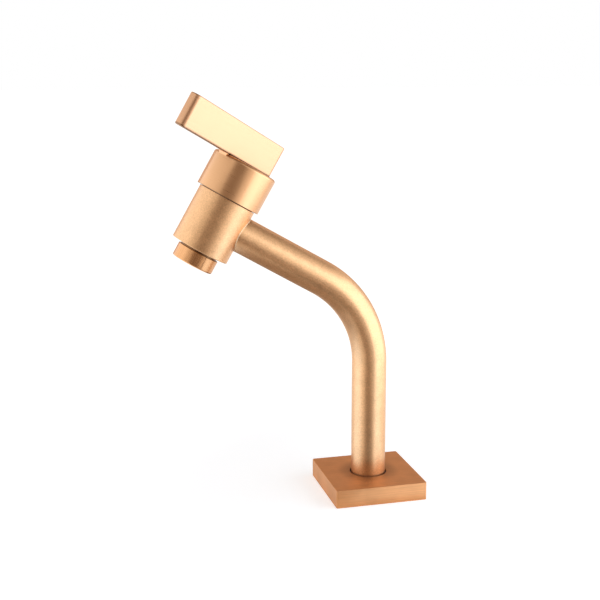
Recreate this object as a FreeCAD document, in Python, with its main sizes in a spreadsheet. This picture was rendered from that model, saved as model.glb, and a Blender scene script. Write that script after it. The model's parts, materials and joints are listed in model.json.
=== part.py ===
import FreeCAD, Part
import math
import operator
import os

import Sketcher
from FreeCAD import Vector

# Tall basin tap for one water supply: a square plate and a bent tube that carries a tilted valve
# head with an aerator below it and a quarter turn lever above it.
# Millimetres and degrees. The origin is the middle of the plate's underside, on the column's
# axis. +Z is up, the spout reaches towards -X, and the lever is turned towards -Y.

SIZES = {
    # Base plate, a hollow cover over the foot
    "plate_side": 60.0,
    "plate_height": 11.6,
    "plate_wall": 2.0,
    "plate_roof": 2.0,
    "plate_corner": 0.8,
    "plate_rounding": 0.4,
    "plate_gap": 0.9,
    "ring_flange_width": 4.0,
    "ring_thickness": 2.0,
    "ring_recess": 1.5,
    # Foot, its threaded tail and what clamps it under the deck
    "flange_radius": 20.0,
    "flange_thickness": 3.0,
    "gasket_thickness": 1.5,
    "gasket_radius": 19.0,
    "tail_radius": 10.48,
    "tail_bore_radius": 7.0,
    "tail_length": 50.0,
    "tail_chamfer": 0.8,
    "tail_end_thread": 12.0,
    "tail_groove_width": 1.0,
    "tail_groove_depth": 0.5,
    "foot_spigot_length": 12.0,
    "deck_thickness": 10.0,
    "washer_radius": 17.0,
    "rubber_washer_thickness": 3.0,
    "steel_washer_thickness": 1.5,
    "backnut_flats": 30.0,
    "backnut_height": 8.0,
    # Bent tube
    "tube_radius": 11.1,
    "tube_wall": 1.5,
    "corner_height": 123.8,
    "bend_radius": 65.5,
    "spout_rise": 30.0,
    "spout_length": 113.7,
    # Valve body, whose heights are counted along the head's axis from the tube's axis
    "body_radius": 18.3,
    "neck_step": 1.9,
    "neck_wall": 3.4,
    "nut_thread_depth": 1.0,
    "port_radius": 6.0,
    "port_margin": 1.0,
    "seat_thickness": 3.5,
    "seat_width": 3.3,
    "aerator_pocket_depth": 9.2,
    "body_edge": 0.3,
    "spigot_overlap": 8.7,
    "spigot_root": 1.0,
    "seam_gap": 0.05,
    # Cartridge
    "channel_width": 3.2,
    "sleeve_wall": 1.4,
    "seal_thickness": 1.8,
    "disc_thickness": 3.0,
    "disc_film": 0.02,
    "disc_eye_radius": 2.0,
    "disc_rim": 1.7,
    "disc_opening_angle": 78.0,
    "key_depth": 0.8,
    "key_angle": 18.0,
    "key_slack_angle": 2.0,
    "window_height": 5.5,
    "window_width": 7.0,
    "driver_thickness": 2.5,
    "driver_clearance": 0.2,
    "prong_angle": 24.0,
    "prong_slack_angle": 4.0,
    "prong_inner_radius": 5.2,
    "stop_bearing": 131.0,
    "stop_angle": 20.0,
    "stop_depth": 2.0,
    "stop_inset": 0.3,
    "stop_slack_angle": 1.0,
    "thrust_washer_thickness": 0.5,
    "housing_flange_height": 5.0,
    "housing_web": 1.0,
    "housing_neck_height": 7.0,
    "housing_neck_wall": 2.05,
    "spindle_radius": 4.9,
    "spline_radius": 4.0,
    "spline_depth": 0.45,
    "spline_width": 0.7,
    "ring_cord_radius": 0.85,
    "housing_ring_cord_radius": 0.88,
    "clip_thickness": 0.9,
    "clip_width": 2.1,
    "clip_groove": 0.7,
    "clip_angle": 300.0,
    "nut_thread_length": 6.45,
    "nut_head_height": 3.2,
    "nut_flats": 22.0,
    # Handle: a cap and a lever blade screwed together
    "cap_start": 15.5,
    "cap_gap": 0.3,
    "cap_height": 23.1,
    "cap_overhang": 2.2,
    "cap_roof": 5.6,
    "cap_rounding": 1.8,
    "cap_edge": 0.3,
    "cavity_clearance": 0.6,
    "boss_radius": 9.0,
    "boss_gap": 1.3,
    "socket_roof": 2.6,
    "lever_reach": 60.2,
    "lever_heel": 19.8,
    "lever_height": 20.2,
    "lever_thickness": 8.4,
    "lever_rounding": 1.0,
    "lever_turn": 30.0,
    "quarter_turn": 90.0,
    "blade_screw_radius": 2.0,
    "blade_screw_margin": 4.0,
    "blade_screw_grip": 8.0,
    "blade_screw_head": 1.8,
    "blade_screw_socket": 2.5,
    "grub_radius": 2.5,
    "grub_length": 4.9,
    "grub_socket": 2.5,
    "plug_length": 3.1,
    # Aerator
    "aerator_thread_radius": 12.0,
    "aerator_radius": 13.15,
    "aerator_groove": 1.6,
    "aerator_collar": 8.5,
    "aerator_rounding": 0.8,
    "aerator_wall": 1.4,
    "aerator_lip": 1.0,
    "aerator_lip_height": 3.6,
    "aerator_gasket_thickness": 1.9,
    "aerator_gasket_width": 3.0,
    "screen_thickness": 0.4,
    "screen_hole_radius": 0.5,
    "screen_pitch": 2.0,
    "diffuser_height": 8.2,
    "diffuser_plate": 1.5,
    "diffuser_hole_radius": 0.6,
    "diffuser_pitch": 2.4,
    "grille_hole_radius": 1.05,
    "grille_pitch": 2.7,
    # Clearances
    "running_clearance": 0.05,
    "loose_clearance": 0.3,
    "fit_clearance": 0.1,
}
SPLINE_COUNT = 20
SCREEN_RINGS = 4
DIFFUSER_RINGS = 3
GRILLE_RINGS = 3
WINDOW_PAIRS = 2
# Places of the spindle's rubber rings, as shares of its guide's height
SPINDLE_RING_SHARES = (0.25, 0.65)
# How far a cutting shape reaches past what it cuts
CUT_MARGIN = 1.0


class Size:
    """A number together with its formula in the spreadsheet's cells."""

    def __init__(self, value, text):
        self.value = value
        self.text = text

    def __add__(self, other):
        return combined(self, other, "+", operator.add)

    def __radd__(self, other):
        return combined(other, self, "+", operator.add)

    def __sub__(self, other):
        return combined(self, other, "-", operator.sub)

    def __rsub__(self, other):
        return combined(other, self, "-", operator.sub)

    def __mul__(self, other):
        return combined(self, other, "*", operator.mul)

    def __rmul__(self, other):
        return combined(other, self, "*", operator.mul)

    def __truediv__(self, other):
        return combined(self, other, "/", operator.truediv)

    def __neg__(self):
        return combined(0, self, "-", operator.sub)


def as_size(item):
    """A plain number gets the same form as a size."""
    if isinstance(item, Size):
        return item
    return Size(float(item), repr(float(item)))


def combined(left, right, sign, rule):
    """Two sizes joined by a sign, in value and in formula."""
    left = as_size(left)
    right = as_size(right)
    return Size(rule(left.value, right.value), f"({left.text} {sign} {right.text})")


def cosine(angle):
    return Size(math.cos(math.radians(angle.value)), f"cos({angle.text})")


def sine(angle):
    return Size(math.sin(math.radians(angle.value)), f"sin({angle.text})")


def tangent(angle):
    return Size(math.tan(math.radians(angle.value)), f"tan({angle.text})")


def bind(item, name, size):
    """Ties a property to its formula."""
    item.setExpression(name, as_size(size).text)


def make_sheet(doc):
    """Writes the driving dimensions and returns them as sizes under their aliases."""
    sheet = doc.addObject("Spreadsheet::Sheet", "Sizes")
    sizes = {}
    for row, (alias, value) in enumerate(SIZES.items(), start=1):
        sheet.set(f"A{row}", alias)
        sheet.set(f"B{row}", str(value))
        sheet.setAlias(f"B{row}", alias)
        sizes[alias] = Size(value, f"Sizes.{alias}")
    doc.recompute()
    return sizes


# Placements

def placement_text(x=0, y=0, z=0, axis=(0, 0, 1), angle=0):
    """The formula of a placement: a shift and a turn about an axis."""
    shift = "; ".join(as_size(part).text for part in (x, y, z))
    line = "; ".join(str(part) for part in axis)
    turn = f"create(<<rotation>>; create(<<vector>>; {line}); {as_size(angle).text})"
    return f"create(<<placement>>; create(<<vector>>; {shift}); {turn})"


def put_at(item, **where):
    item.setExpression("Placement", placement_text(**where))
    return item


def carry(item, frame):
    """Moves a finished sub-part to the frame that it is drawn in."""
    item.setExpression("Placement", f"{frame.Name}.Placement")
    return item


def make_frames(doc, s):
    """The head's frame, with +Z along the valve's axis, and the handle's, with +X along the lever."""
    head = doc.addObject("App::Placement", "HeadFrame")
    across = s["spout_length"] * cosine(s["spout_rise"])
    up = s["corner_height"] + s["spout_length"] * sine(s["spout_rise"])
    put_at(head, x=-across, z=up, axis=(0, 1, 0), angle=s["spout_rise"])
    handle = doc.addObject("App::Placement", "HandleFrame")
    turn = placement_text(angle=180 + s["lever_turn"])
    handle.setExpression("Placement", f"HeadFrame.Placement * {turn}")
    return head, handle


# Sketches and features

def new_sketch(body, name, role, offset=None):
    """A sketch on one of the body's own origin planes, moved along the plane's normal."""
    plane = next(item for item in body.Origin.OriginFeatures if item.Role == role)
    sketch = body.newObject("Sketcher::SketchObject", name)
    sketch.AttachmentSupport = [(plane, "")]
    sketch.MapMode = "FlatFace"
    if offset is not None:
        bind(sketch, "AttachmentOffset.Base.z", offset)
    return sketch


def tie_point(sketch, edge, point, x, y):
    """Fixes one point of an edge at its own two sizes."""
    for kind, line, size in (("DistanceX", -2, as_size(x)), ("DistanceY", -1, as_size(y))):
        if size.text == "0.0":
            sketch.addConstraint(Sketcher.Constraint("PointOnObject", edge, point, line))
            continue
        row = sketch.addConstraint(Sketcher.Constraint(kind, -1, 1, edge, point, size.value))
        sketch.setExpression(f"Constraints[{row}]", size.text)


def draw_outline(sketch, points):
    """A closed outline of straight lines through (x, y) sizes."""
    corners = [Vector(as_size(x).value, as_size(y).value, 0) for x, y in points]
    for index, corner in enumerate(corners):
        sketch.addGeometry(Part.LineSegment(corner, corners[(index + 1) % len(corners)]), False)
    for index in range(len(corners)):
        following = (index + 1) % len(corners)
        sketch.addConstraint(Sketcher.Constraint("Coincident", index, 2, following, 1))
    for index, (x, y) in enumerate(points):
        tie_point(sketch, index, 1, x, y)


def draw_rectangle(sketch, left, right, low, high):
    draw_outline(sketch, [(left, low), (right, low), (right, high), (left, high)])


def draw_circle(sketch, radius, x=0, y=0):
    radius = as_size(radius)
    centre = Vector(as_size(x).value, as_size(y).value, 0)
    edge = sketch.addGeometry(Part.Circle(centre, Vector(0, 0, 1), radius.value), False)
    tie_point(sketch, edge, 3, x, y)
    row = sketch.addConstraint(Sketcher.Constraint("Radius", edge, radius.value))
    sketch.setExpression(f"Constraints[{row}]", radius.text)


def new_body(doc, label):
    body = doc.addObject("PartDesign::Body", label)
    body.Label = label
    return body


def pad(body, sketch, length, reverse=False):
    """Adds material along the sketch's normal, or against it."""
    feature = body.newObject("PartDesign::Pad", f"{sketch.Name}_pad")
    feature.Profile = sketch
    feature.Reversed = reverse
    bind(feature, "Length", length)
    return feature


def pocket(body, sketch, length, along=False):
    """Takes material away against the sketch's normal, or along it."""
    feature = body.newObject("PartDesign::Pocket", f"{sketch.Name}_pocket")
    feature.Profile = sketch
    feature.Reversed = along
    bind(feature, "Length", length)
    return feature


def repeat_round(body, feature, sketch, count):
    """Repeats a feature round the normal at the sketch's origin."""
    pattern = body.newObject("PartDesign::PolarPattern", f"{feature.Name}_pattern")
    pattern.Originals = [feature]
    pattern.Axis = (sketch, ["N_Axis"])
    pattern.Angle = 360
    pattern.Occurrences = count
    body.Tip = pattern
    return pattern


def round_edges(doc, body, base, radius, wanted, name):
    """Rounds the edges that the test picks."""
    doc.recompute()
    picked = [f"Edge{row}" for row, edge in enumerate(base.Shape.Edges, start=1) if wanted(edge)]
    fillet = body.newObject("PartDesign::Fillet", name)
    fillet.Base = (base, picked)
    bind(fillet, "Radius", radius)
    return fillet


def turned(doc, label, points):
    """A body turned about its own Z axis from an outline of (radius, height) sizes."""
    body = new_body(doc, label)
    sketch = new_sketch(body, f"{label}_outline", "XZ_Plane")
    draw_outline(sketch, points)
    turn = body.newObject("PartDesign::Revolution", f"{label}_turn")
    turn.Profile = sketch
    turn.ReferenceAxis = (sketch, ["V_Axis"])
    turn.Angle = 360
    return body


def ring(doc, label, inner, outer, low, high):
    """A turned ring of rectangular section."""
    return turned(doc, label, [(inner, low), (outer, low), (outer, high), (inner, high)])


def is_circle(edge, radius, height):
    """True for a full circle of this radius round the Z axis at this height."""
    curve = edge.Curve
    if not isinstance(curve, Part.Circle):
        return False
    return abs(curve.Radius - radius.value) < 0.01 and abs(curve.Center.z - height.value) < 0.01


# Primitives and booleans

def cylinder(doc, name, radius, low, high, angle=360, start=0):
    """A cylinder about Z, or a sector of one from a start angle."""
    item = doc.addObject("Part::Cylinder", name)
    bind(item, "Radius", radius)
    bind(item, "Height", high - low)
    bind(item, "Angle", angle)
    return put_at(item, z=low, angle=start)


def cross_cylinder(doc, name, radius, near, far, height):
    """A cylinder that lies along -X at a height, from one distance of the Z axis to another."""
    item = doc.addObject("Part::Cylinder", name)
    bind(item, "Radius", radius)
    bind(item, "Height", far - near)
    return put_at(item, x=-near, z=height, axis=(0, 1, 0), angle=-90)


def hexagon(doc, name, flats, low, high):
    """A hexagonal bar about Z, with the given width across its flats."""
    item = doc.addObject("Part::Prism", name)
    item.Polygon = 6
    bind(item, "Circumradius", flats / (2 * cosine(as_size(30))))
    bind(item, "Height", high - low)
    return put_at(item, z=low)


def cut(doc, label, base, tools):
    """The base without the tools."""
    item = doc.addObject("Part::Cut", label)
    item.Label = label
    item.Base = base
    item.Tool = fuse(doc, f"{label}_tools", tools) if len(tools) > 1 else tools[0]
    return item


def fuse(doc, label, pieces):
    item = doc.addObject("Part::MultiFuse", label)
    item.Label = label
    item.Shapes = pieces
    return item


def ring_sector(doc, name, inner, outer, low, high, start, angle):
    """Part of a ring about Z, from a start angle through an angle."""
    wedge = cylinder(doc, f"{name}_wedge", outer, low, high, angle, start)
    core = cylinder(doc, f"{name}_core", inner, low - CUT_MARGIN, high + CUT_MARGIN)
    return cut(doc, name, wedge, [core])


def opposite_sectors(doc, name, inner, outer, low, high, bearing, angle):
    """Two ring sectors that face each other, the first centred on a bearing."""
    start = bearing - as_size(angle) / 2
    return [ring_sector(doc, f"{name}_{side}", inner, outer, low, high, start + 180 * side, angle)
            for side in (0, 1)]


def hole_rings(body, name, rings, pitch, radius, height, depth):
    """A middle hole and rings of six, twelve and more holes round it, cut down from a height."""
    middle = new_sketch(body, f"{name}_middle", "XY_Plane", height)
    draw_circle(middle, radius)
    pocket(body, middle, depth)
    for number in range(1, rings + 1):
        sketch = new_sketch(body, f"{name}_ring_{number}", "XY_Plane", height)
        draw_circle(sketch, radius, x=pitch * number)
        first = pocket(body, sketch, depth)
        repeat_round(body, first, sketch, 6 * number)


# Sizes worked out from the driving ones

def work_out(s):
    """Adds the derived radii and heights to the sizes."""
    # Foot and plate
    s["tube_bore"] = s["tube_radius"] - s["tube_wall"]
    s["plate_hole"] = s["tube_radius"] + s["plate_gap"]
    s["plate_under"] = s["plate_height"] - s["plate_roof"]
    s["flange_top"] = s["gasket_thickness"] + s["flange_thickness"]
    s["washer_hole"] = s["tail_radius"] + s["loose_clearance"]
    s["rubber_washer_low"] = -(s["deck_thickness"] + s["rubber_washer_thickness"])
    s["steel_washer_low"] = s["rubber_washer_low"] - s["steel_washer_thickness"]
    # Valve body radii, from the outside in
    s["neck_radius"] = s["body_radius"] - s["neck_step"]
    s["chamber_radius"] = s["neck_radius"] - s["neck_wall"]
    s["nut_bore"] = s["chamber_radius"] + s["nut_thread_depth"]
    s["housing_radius"] = s["chamber_radius"] - s["fit_clearance"]
    s["sleeve_radius"] = s["chamber_radius"] - s["channel_width"]
    s["sleeve_bore"] = s["sleeve_radius"] - s["sleeve_wall"]
    s["disc_radius"] = s["sleeve_bore"] - s["fit_clearance"]
    s["driver_radius"] = s["sleeve_bore"] - s["driver_clearance"]
    s["outlet_radius"] = s["disc_radius"] - s["seat_width"]
    s["spindle_bore"] = s["spindle_radius"] + s["running_clearance"]
    s["housing_neck"] = s["spindle_bore"] + s["housing_neck_wall"]
    # Valve heights, from the seat up
    s["floor"] = -(s["port_radius"] + s["port_margin"])
    s["pocket_top"] = s["floor"] - s["seat_thickness"]
    s["body_bottom"] = s["pocket_top"] - s["aerator_pocket_depth"]
    s["fixed_disc_low"] = s["floor"] + s["seal_thickness"]
    s["moving_disc_low"] = s["fixed_disc_low"] + s["disc_thickness"] + s["disc_film"]
    s["moving_disc_top"] = s["moving_disc_low"] + s["disc_thickness"]
    s["window_low"] = s["moving_disc_top"] + s["driver_clearance"]
    s["driver_low"] = s["window_low"] + s["window_height"] + s["driver_clearance"]
    s["driver_top"] = s["driver_low"] + s["driver_thickness"]
    s["ceiling"] = s["driver_top"] + s["thrust_washer_thickness"] + s["running_clearance"]
    s["housing_top"] = s["ceiling"] + s["housing_flange_height"]
    s["housing_neck_top"] = s["housing_top"] + s["housing_neck_height"]
    s["body_top"] = s["housing_top"] + s["nut_thread_length"]
    s["nut_top"] = s["body_top"] + s["nut_head_height"]
    s["shoulder"] = s["cap_start"] - s["cap_gap"]
    s["clip_low"] = s["housing_neck_top"] + s["fit_clearance"]
    s["clip_top"] = s["clip_low"] + s["clip_thickness"]
    # Handle
    s["cap_radius"] = s["body_radius"] + s["cap_overhang"]
    s["cavity_radius"] = s["neck_radius"] + s["cavity_clearance"]
    s["cap_top"] = s["cap_start"] + s["cap_height"]
    s["cavity_top"] = s["cap_top"] - s["cap_roof"]
    s["boss_low"] = s["nut_top"] + s["boss_gap"]
    s["socket_top"] = s["cap_top"] - s["socket_roof"]
    s["socket_radius"] = s["spline_radius"] + s["fit_clearance"]
    s["spindle_top"] = s["socket_top"] - s["loose_clearance"]
    s["grub_height"] = (s["boss_low"] + s["cavity_top"]) / 2
    s["plug_far"] = s["cap_radius"] - s["fit_clearance"] * 2
    s["blade_screw_offset"] = s["cavity_radius"] - s["blade_screw_margin"]
    # Aerator heights run down from the pocket's ceiling
    s["aerator_top"] = s["pocket_top"] - s["aerator_gasket_thickness"]
    s["collar_top"] = s["body_bottom"] - s["aerator_groove"]
    s["aerator_bottom"] = s["collar_top"] - s["aerator_collar"]
    s["aerator_male"] = s["aerator_thread_radius"] - s["running_clearance"]
    s["aerator_bore"] = s["aerator_male"] - s["aerator_wall"]
    s["insert_radius"] = s["aerator_bore"] - s["fit_clearance"]
    s["screen_low"] = s["aerator_top"] - s["screen_thickness"]
    s["diffuser_low"] = s["screen_low"] - s["diffuser_height"]
    s["shelf"] = s["aerator_bottom"] + s["aerator_lip_height"]
    # Travel of the lever from the pose in which it is drawn
    s["open_travel"] = s["quarter_turn"] - s["lever_turn"]


# Plate, foot and clamping pieces

def base_plate(doc, s):
    """Hollow square cover with a round hole for the tube."""
    body = new_body(doc, "base_plate")
    half = s["plate_side"] / 2
    inner = half - s["plate_wall"]
    outline = new_sketch(body, "plate_outline", "XY_Plane")
    draw_rectangle(outline, -half, half, -half, half)
    block = pad(body, outline, s["plate_height"])
    upright = round_edges(doc, body, block, s["plate_corner"],
                          lambda edge: edge.BoundBox.ZLength > 1, "plate_corners")
    height = s["plate_height"].value
    rounded = round_edges(doc, body, upright, s["plate_rounding"],
                          lambda edge: edge.BoundBox.ZMin > height - 0.01, "plate_top_edges")
    body.Tip = rounded
    hollow = new_sketch(body, "plate_hollow", "XY_Plane")
    draw_rectangle(hollow, -inner, inner, -inner, inner)
    pocket(body, hollow, s["plate_under"], along=True)
    hole = new_sketch(body, "plate_hole_circle", "XY_Plane")
    draw_circle(hole, s["plate_hole"])
    pocket(body, hole, s["plate_height"] + CUT_MARGIN, along=True)
    return body


def plate_ring(doc, s):
    """Flanged ring that keeps the plate centred on the tube."""
    inner = s["tube_radius"] + s["running_clearance"]
    collar = s["plate_hole"] - s["fit_clearance"]
    flange = s["plate_hole"] + s["ring_flange_width"]
    low = s["plate_under"] - s["ring_thickness"]
    top = s["plate_height"] - s["ring_recess"]
    return turned(doc, "plate_ring", [(inner, low), (flange, low), (flange, s["plate_under"]),
                                      (collar, s["plate_under"]), (collar, top), (inner, top)])


def foot_shank(doc, s):
    """Flanged foot: a spigot up into the tube and a threaded tail down through the deck.

    A narrow groove parts the backnut's thread from the thread at the tail's end.
    """
    bore = s["tail_bore_radius"]
    outer = s["tail_radius"]
    neck = outer - s["tail_groove_depth"]
    spigot = s["tube_bore"] - s["seam_gap"]
    low = -s["tail_length"]
    groove_low = low + s["tail_end_thread"]
    groove_high = groove_low + s["tail_groove_width"]
    top = s["flange_top"] + s["foot_spigot_length"]
    return turned(doc, "foot_shank", [
        (bore, low), (outer - s["tail_chamfer"], low), (outer, low + s["tail_chamfer"]),
        (outer, groove_low), (neck, groove_low), (neck, groove_high), (outer, groove_high),
        (outer, s["gasket_thickness"]), (s["flange_radius"], s["gasket_thickness"]),
        (s["flange_radius"], s["flange_top"]), (spigot, s["flange_top"]), (spigot, top),
        (bore, top)])


def clamping_rings(doc, s):
    """Gasket above the deck, and the rubber and steel washers below it."""
    zero = as_size(0)
    ring(doc, "deck_gasket", s["washer_hole"], s["gasket_radius"], zero, s["gasket_thickness"])
    ring(doc, "rubber_washer", s["washer_hole"], s["washer_radius"],
         s["rubber_washer_low"], -s["deck_thickness"])
    ring(doc, "steel_washer", s["washer_hole"], s["washer_radius"],
         s["steel_washer_low"], s["rubber_washer_low"])


def backnut(doc, s):
    """Hexagonal nut on the tail."""
    low = s["steel_washer_low"] - s["backnut_height"]
    bar = hexagon(doc, "backnut_bar", s["backnut_flats"], low, s["steel_washer_low"])
    bore = cylinder(doc, "backnut_bore", s["tail_radius"] + s["running_clearance"],
                    low - CUT_MARGIN, s["steel_washer_low"] + CUT_MARGIN)
    return cut(doc, "backnut", bar, [bore])


# Bent tube

def draw_bend(sketch, s, start):
    """The tube's centre line: upright, one arc, and a straight rise to the head's axis."""
    bend = 90 - s["spout_rise"]
    arc_height = s["corner_height"] - s["bend_radius"] * tangent(bend / 2)
    arc_end_x = s["bend_radius"] * (cosine(bend) - 1)
    arc_end_z = arc_height + s["bend_radius"] * sine(bend)
    end_x = -(s["spout_length"] * cosine(s["spout_rise"]))
    end_z = s["corner_height"] + s["spout_length"] * sine(s["spout_rise"])
    centre = Vector(-s["bend_radius"].value, arc_height.value, 0)
    circle = Part.Circle(centre, Vector(0, 0, 1), s["bend_radius"].value)
    foot = Vector(0, start.value, 0)
    spring = Vector(0, arc_height.value, 0)
    rise = Vector(arc_end_x.value, arc_end_z.value, 0)
    end = Vector(end_x.value, end_z.value, 0)
    column = sketch.addGeometry(Part.LineSegment(foot, spring), False)
    arc = sketch.addGeometry(Part.ArcOfCircle(circle, 0, math.radians(bend.value)), False)
    arm = sketch.addGeometry(Part.LineSegment(rise, end), False)
    tie_point(sketch, column, 1, 0, start)
    tie_point(sketch, column, 2, 0, arc_height)
    tie_point(sketch, arc, 3, -s["bend_radius"], arc_height)
    sketch.addConstraint(Sketcher.Constraint("Coincident", arc, 1, column, 2))
    row = sketch.addConstraint(Sketcher.Constraint("DistanceY", -1, 1, arc, 2, arc_end_z.value))
    sketch.setExpression(f"Constraints[{row}]", arc_end_z.text)
    sketch.addConstraint(Sketcher.Constraint("Coincident", arm, 1, arc, 2))
    tie_point(sketch, arm, 2, end_x, end_z)


def swept(body, kind, name, radius, s):
    """A round section carried along the tube's centre line, added or taken away."""
    start = s["flange_top"]
    path = new_sketch(body, f"{name}_path", "XZ_Plane")
    draw_bend(path, s, start)
    section = new_sketch(body, f"{name}_section", "XY_Plane", start)
    draw_circle(section, radius)
    pipe = body.newObject(kind, f"{name}_pipe")
    pipe.Profile = section
    pipe.Spine = (path, ["Edge1", "Edge2", "Edge3"])
    return pipe


def spout_tube(doc, s, head):
    """Column, bend and arm in one tube, coped to the side of the valve body."""
    body = new_body(doc, "bent_tube")
    swept(body, "PartDesign::AdditivePipe", "tube_outer", s["tube_radius"], s)
    swept(body, "PartDesign::SubtractivePipe", "tube_inner", s["tube_bore"], s)
    reach = s["tube_radius"] * 2
    cope = cylinder(doc, "tube_cope", s["body_radius"] + s["seam_gap"], -reach, reach)
    cope.setExpression("Placement", f"{head.Name}.Placement * {placement_text(z=-reach)}")
    return cut(doc, "spout_tube", body, [cope])


# Valve body and cartridge, drawn in the head's frame

def valve_body(doc, s):
    """Turned body with the cartridge's chamber, the seat, the aerator's thread and a side spigot."""
    outer = s["body_radius"]
    edge = s["body_edge"]
    ledge = s["housing_top"] - s["loose_clearance"]
    thread = s["aerator_thread_radius"]
    body = turned(doc, "valve_body", [
        (thread, s["body_bottom"]), (outer - edge, s["body_bottom"]),
        (outer, s["body_bottom"] + edge), (outer, s["shoulder"]),
        (s["neck_radius"], s["shoulder"]), (s["neck_radius"], s["body_top"]),
        (s["nut_bore"], s["body_top"]), (s["nut_bore"], ledge),
        (s["chamber_radius"], ledge), (s["chamber_radius"], s["floor"]),
        (s["outlet_radius"], s["floor"]), (s["outlet_radius"], s["pocket_top"]),
        (thread, s["pocket_top"])])
    root = s["chamber_radius"] + s["spigot_root"]
    tip = outer + s["spigot_overlap"]
    spigot = new_sketch(body, "body_spigot", "YZ_Plane", root)
    draw_circle(spigot, s["tube_bore"] - s["fit_clearance"])
    pad(body, spigot, tip - root)
    port = new_sketch(body, "body_port", "YZ_Plane", s["chamber_radius"] / 2)
    draw_circle(port, s["port_radius"])
    pocket(body, port, tip, along=True)
    return body


def cartridge_housing(doc, s):
    """Sleeve with water windows, a flange with a ring groove, and the spindle's guide."""
    groove = 2 * s["housing_ring_cord_radius"]
    groove_radius = s["chamber_radius"] - groove
    middle = (s["ceiling"] + s["housing_top"]) / 2
    low = middle - s["housing_ring_cord_radius"] - s["fit_clearance"]
    high = middle + s["housing_ring_cord_radius"] + s["fit_clearance"]
    flange_low = s["ceiling"] - s["housing_web"]
    blank = turned(doc, "housing_blank", [
        (s["sleeve_bore"], s["floor"]), (s["sleeve_radius"], s["floor"]),
        (s["sleeve_radius"], flange_low), (s["housing_radius"], flange_low),
        (s["housing_radius"], low), (groove_radius, low), (groove_radius, high),
        (s["housing_radius"], high), (s["housing_radius"], s["housing_top"]),
        (s["housing_neck"], s["housing_top"]), (s["housing_neck"], s["housing_neck_top"]),
        (s["spindle_bore"], s["housing_neck_top"]), (s["spindle_bore"], s["ceiling"]),
        (s["sleeve_bore"], s["ceiling"])])
    windows = []
    for number in range(WINDOW_PAIRS):
        window = doc.addObject("Part::Box", f"window_{number}")
        bind(window, "Length", (s["sleeve_radius"] + CUT_MARGIN) * 2)
        bind(window, "Width", s["window_width"])
        bind(window, "Height", s["window_height"])
        turn = as_size(180.0 * number / WINDOW_PAIRS)
        corner_x = -(s["sleeve_radius"] + CUT_MARGIN)
        corner_y = -(s["window_width"] / 2)
        put_at(window, x=corner_x * cosine(turn) - corner_y * sine(turn),
               y=corner_x * sine(turn) + corner_y * cosine(turn), z=s["window_low"], angle=turn)
        windows.append(window)
    sleeve = cut(doc, "housing_sleeve", blank, windows)
    root = s["sleeve_bore"] + s["sleeve_wall"] / 2
    stop = ring_sector(doc, "housing_stop", s["sleeve_bore"] - s["stop_depth"], root,
                       s["driver_low"] + s["stop_inset"], s["driver_top"] - s["stop_inset"],
                       s["stop_bearing"] - s["stop_angle"] / 2, s["stop_angle"])
    keys = opposite_sectors(doc, "housing_key", s["sleeve_bore"] - s["key_depth"], root,
                            s["fixed_disc_low"] + s["fit_clearance"],
                            s["moving_disc_low"] - s["loose_clearance"],
                            as_size(90), s["key_angle"])
    return fuse(doc, "cartridge_housing", [sleeve, stop] + keys)


def cartridge_ring(doc, s):
    """Rubber ring between the cartridge's flange and the chamber."""
    item = doc.addObject("Part::Torus", "cartridge_ring")
    bind(item, "Radius1", s["chamber_radius"] - s["housing_ring_cord_radius"])
    bind(item, "Radius2", s["housing_ring_cord_radius"] - s["disc_film"])
    return item


def disc(doc, label, s, low, bearing, radius, notch_bearing, notch_inner, notch_angle, notch_low):
    """Ceramic disc with two opposite sector openings and two notches in its rim."""
    top = low + s["disc_thickness"]
    blank = cylinder(doc, f"{label}_blank", radius, low, top)
    openings = opposite_sectors(doc, f"{label}_opening", s["disc_eye_radius"],
                                s["disc_radius"] - s["disc_rim"], low - CUT_MARGIN,
                                top + CUT_MARGIN, bearing, s["disc_opening_angle"])
    notches = opposite_sectors(doc, f"{label}_notch", notch_inner, radius + CUT_MARGIN, notch_low,
                               top + CUT_MARGIN, notch_bearing, notch_angle)
    return cut(doc, label, blank, openings + notches)


def cartridge_nut(doc, s):
    """Threaded ring nut with a hexagonal head that holds the cartridge down."""
    thread = cylinder(doc, "nut_thread", s["nut_bore"] - s["running_clearance"],
                      s["housing_top"], s["body_top"])
    head = hexagon(doc, "nut_head", s["nut_flats"], s["body_top"], s["nut_top"])
    bore = cylinder(doc, "nut_bore", s["housing_neck"] + s["loose_clearance"],
                    s["housing_top"] - CUT_MARGIN, s["nut_top"] + CUT_MARGIN)
    return cut(doc, "cartridge_nut", fuse(doc, "nut_blank", [thread, head]), [bore])


def glide_ring(doc, s):
    """Thin nylon ring on the body's neck that guides the cap."""
    return ring(doc, "glide_ring", s["neck_radius"] + s["running_clearance"],
                s["cavity_radius"] - s["running_clearance"],
                s["shoulder"], (s["shoulder"] + s["body_top"]) / 2)


# Spindle and what turns with it, drawn in the handle's frame

def ring_heights(s):
    """Middle heights of the two rubber rings on the spindle."""
    guide = s["housing_neck_top"] - s["ceiling"]
    return [s["ceiling"] + guide * share for share in SPINDLE_RING_SHARES]


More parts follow.
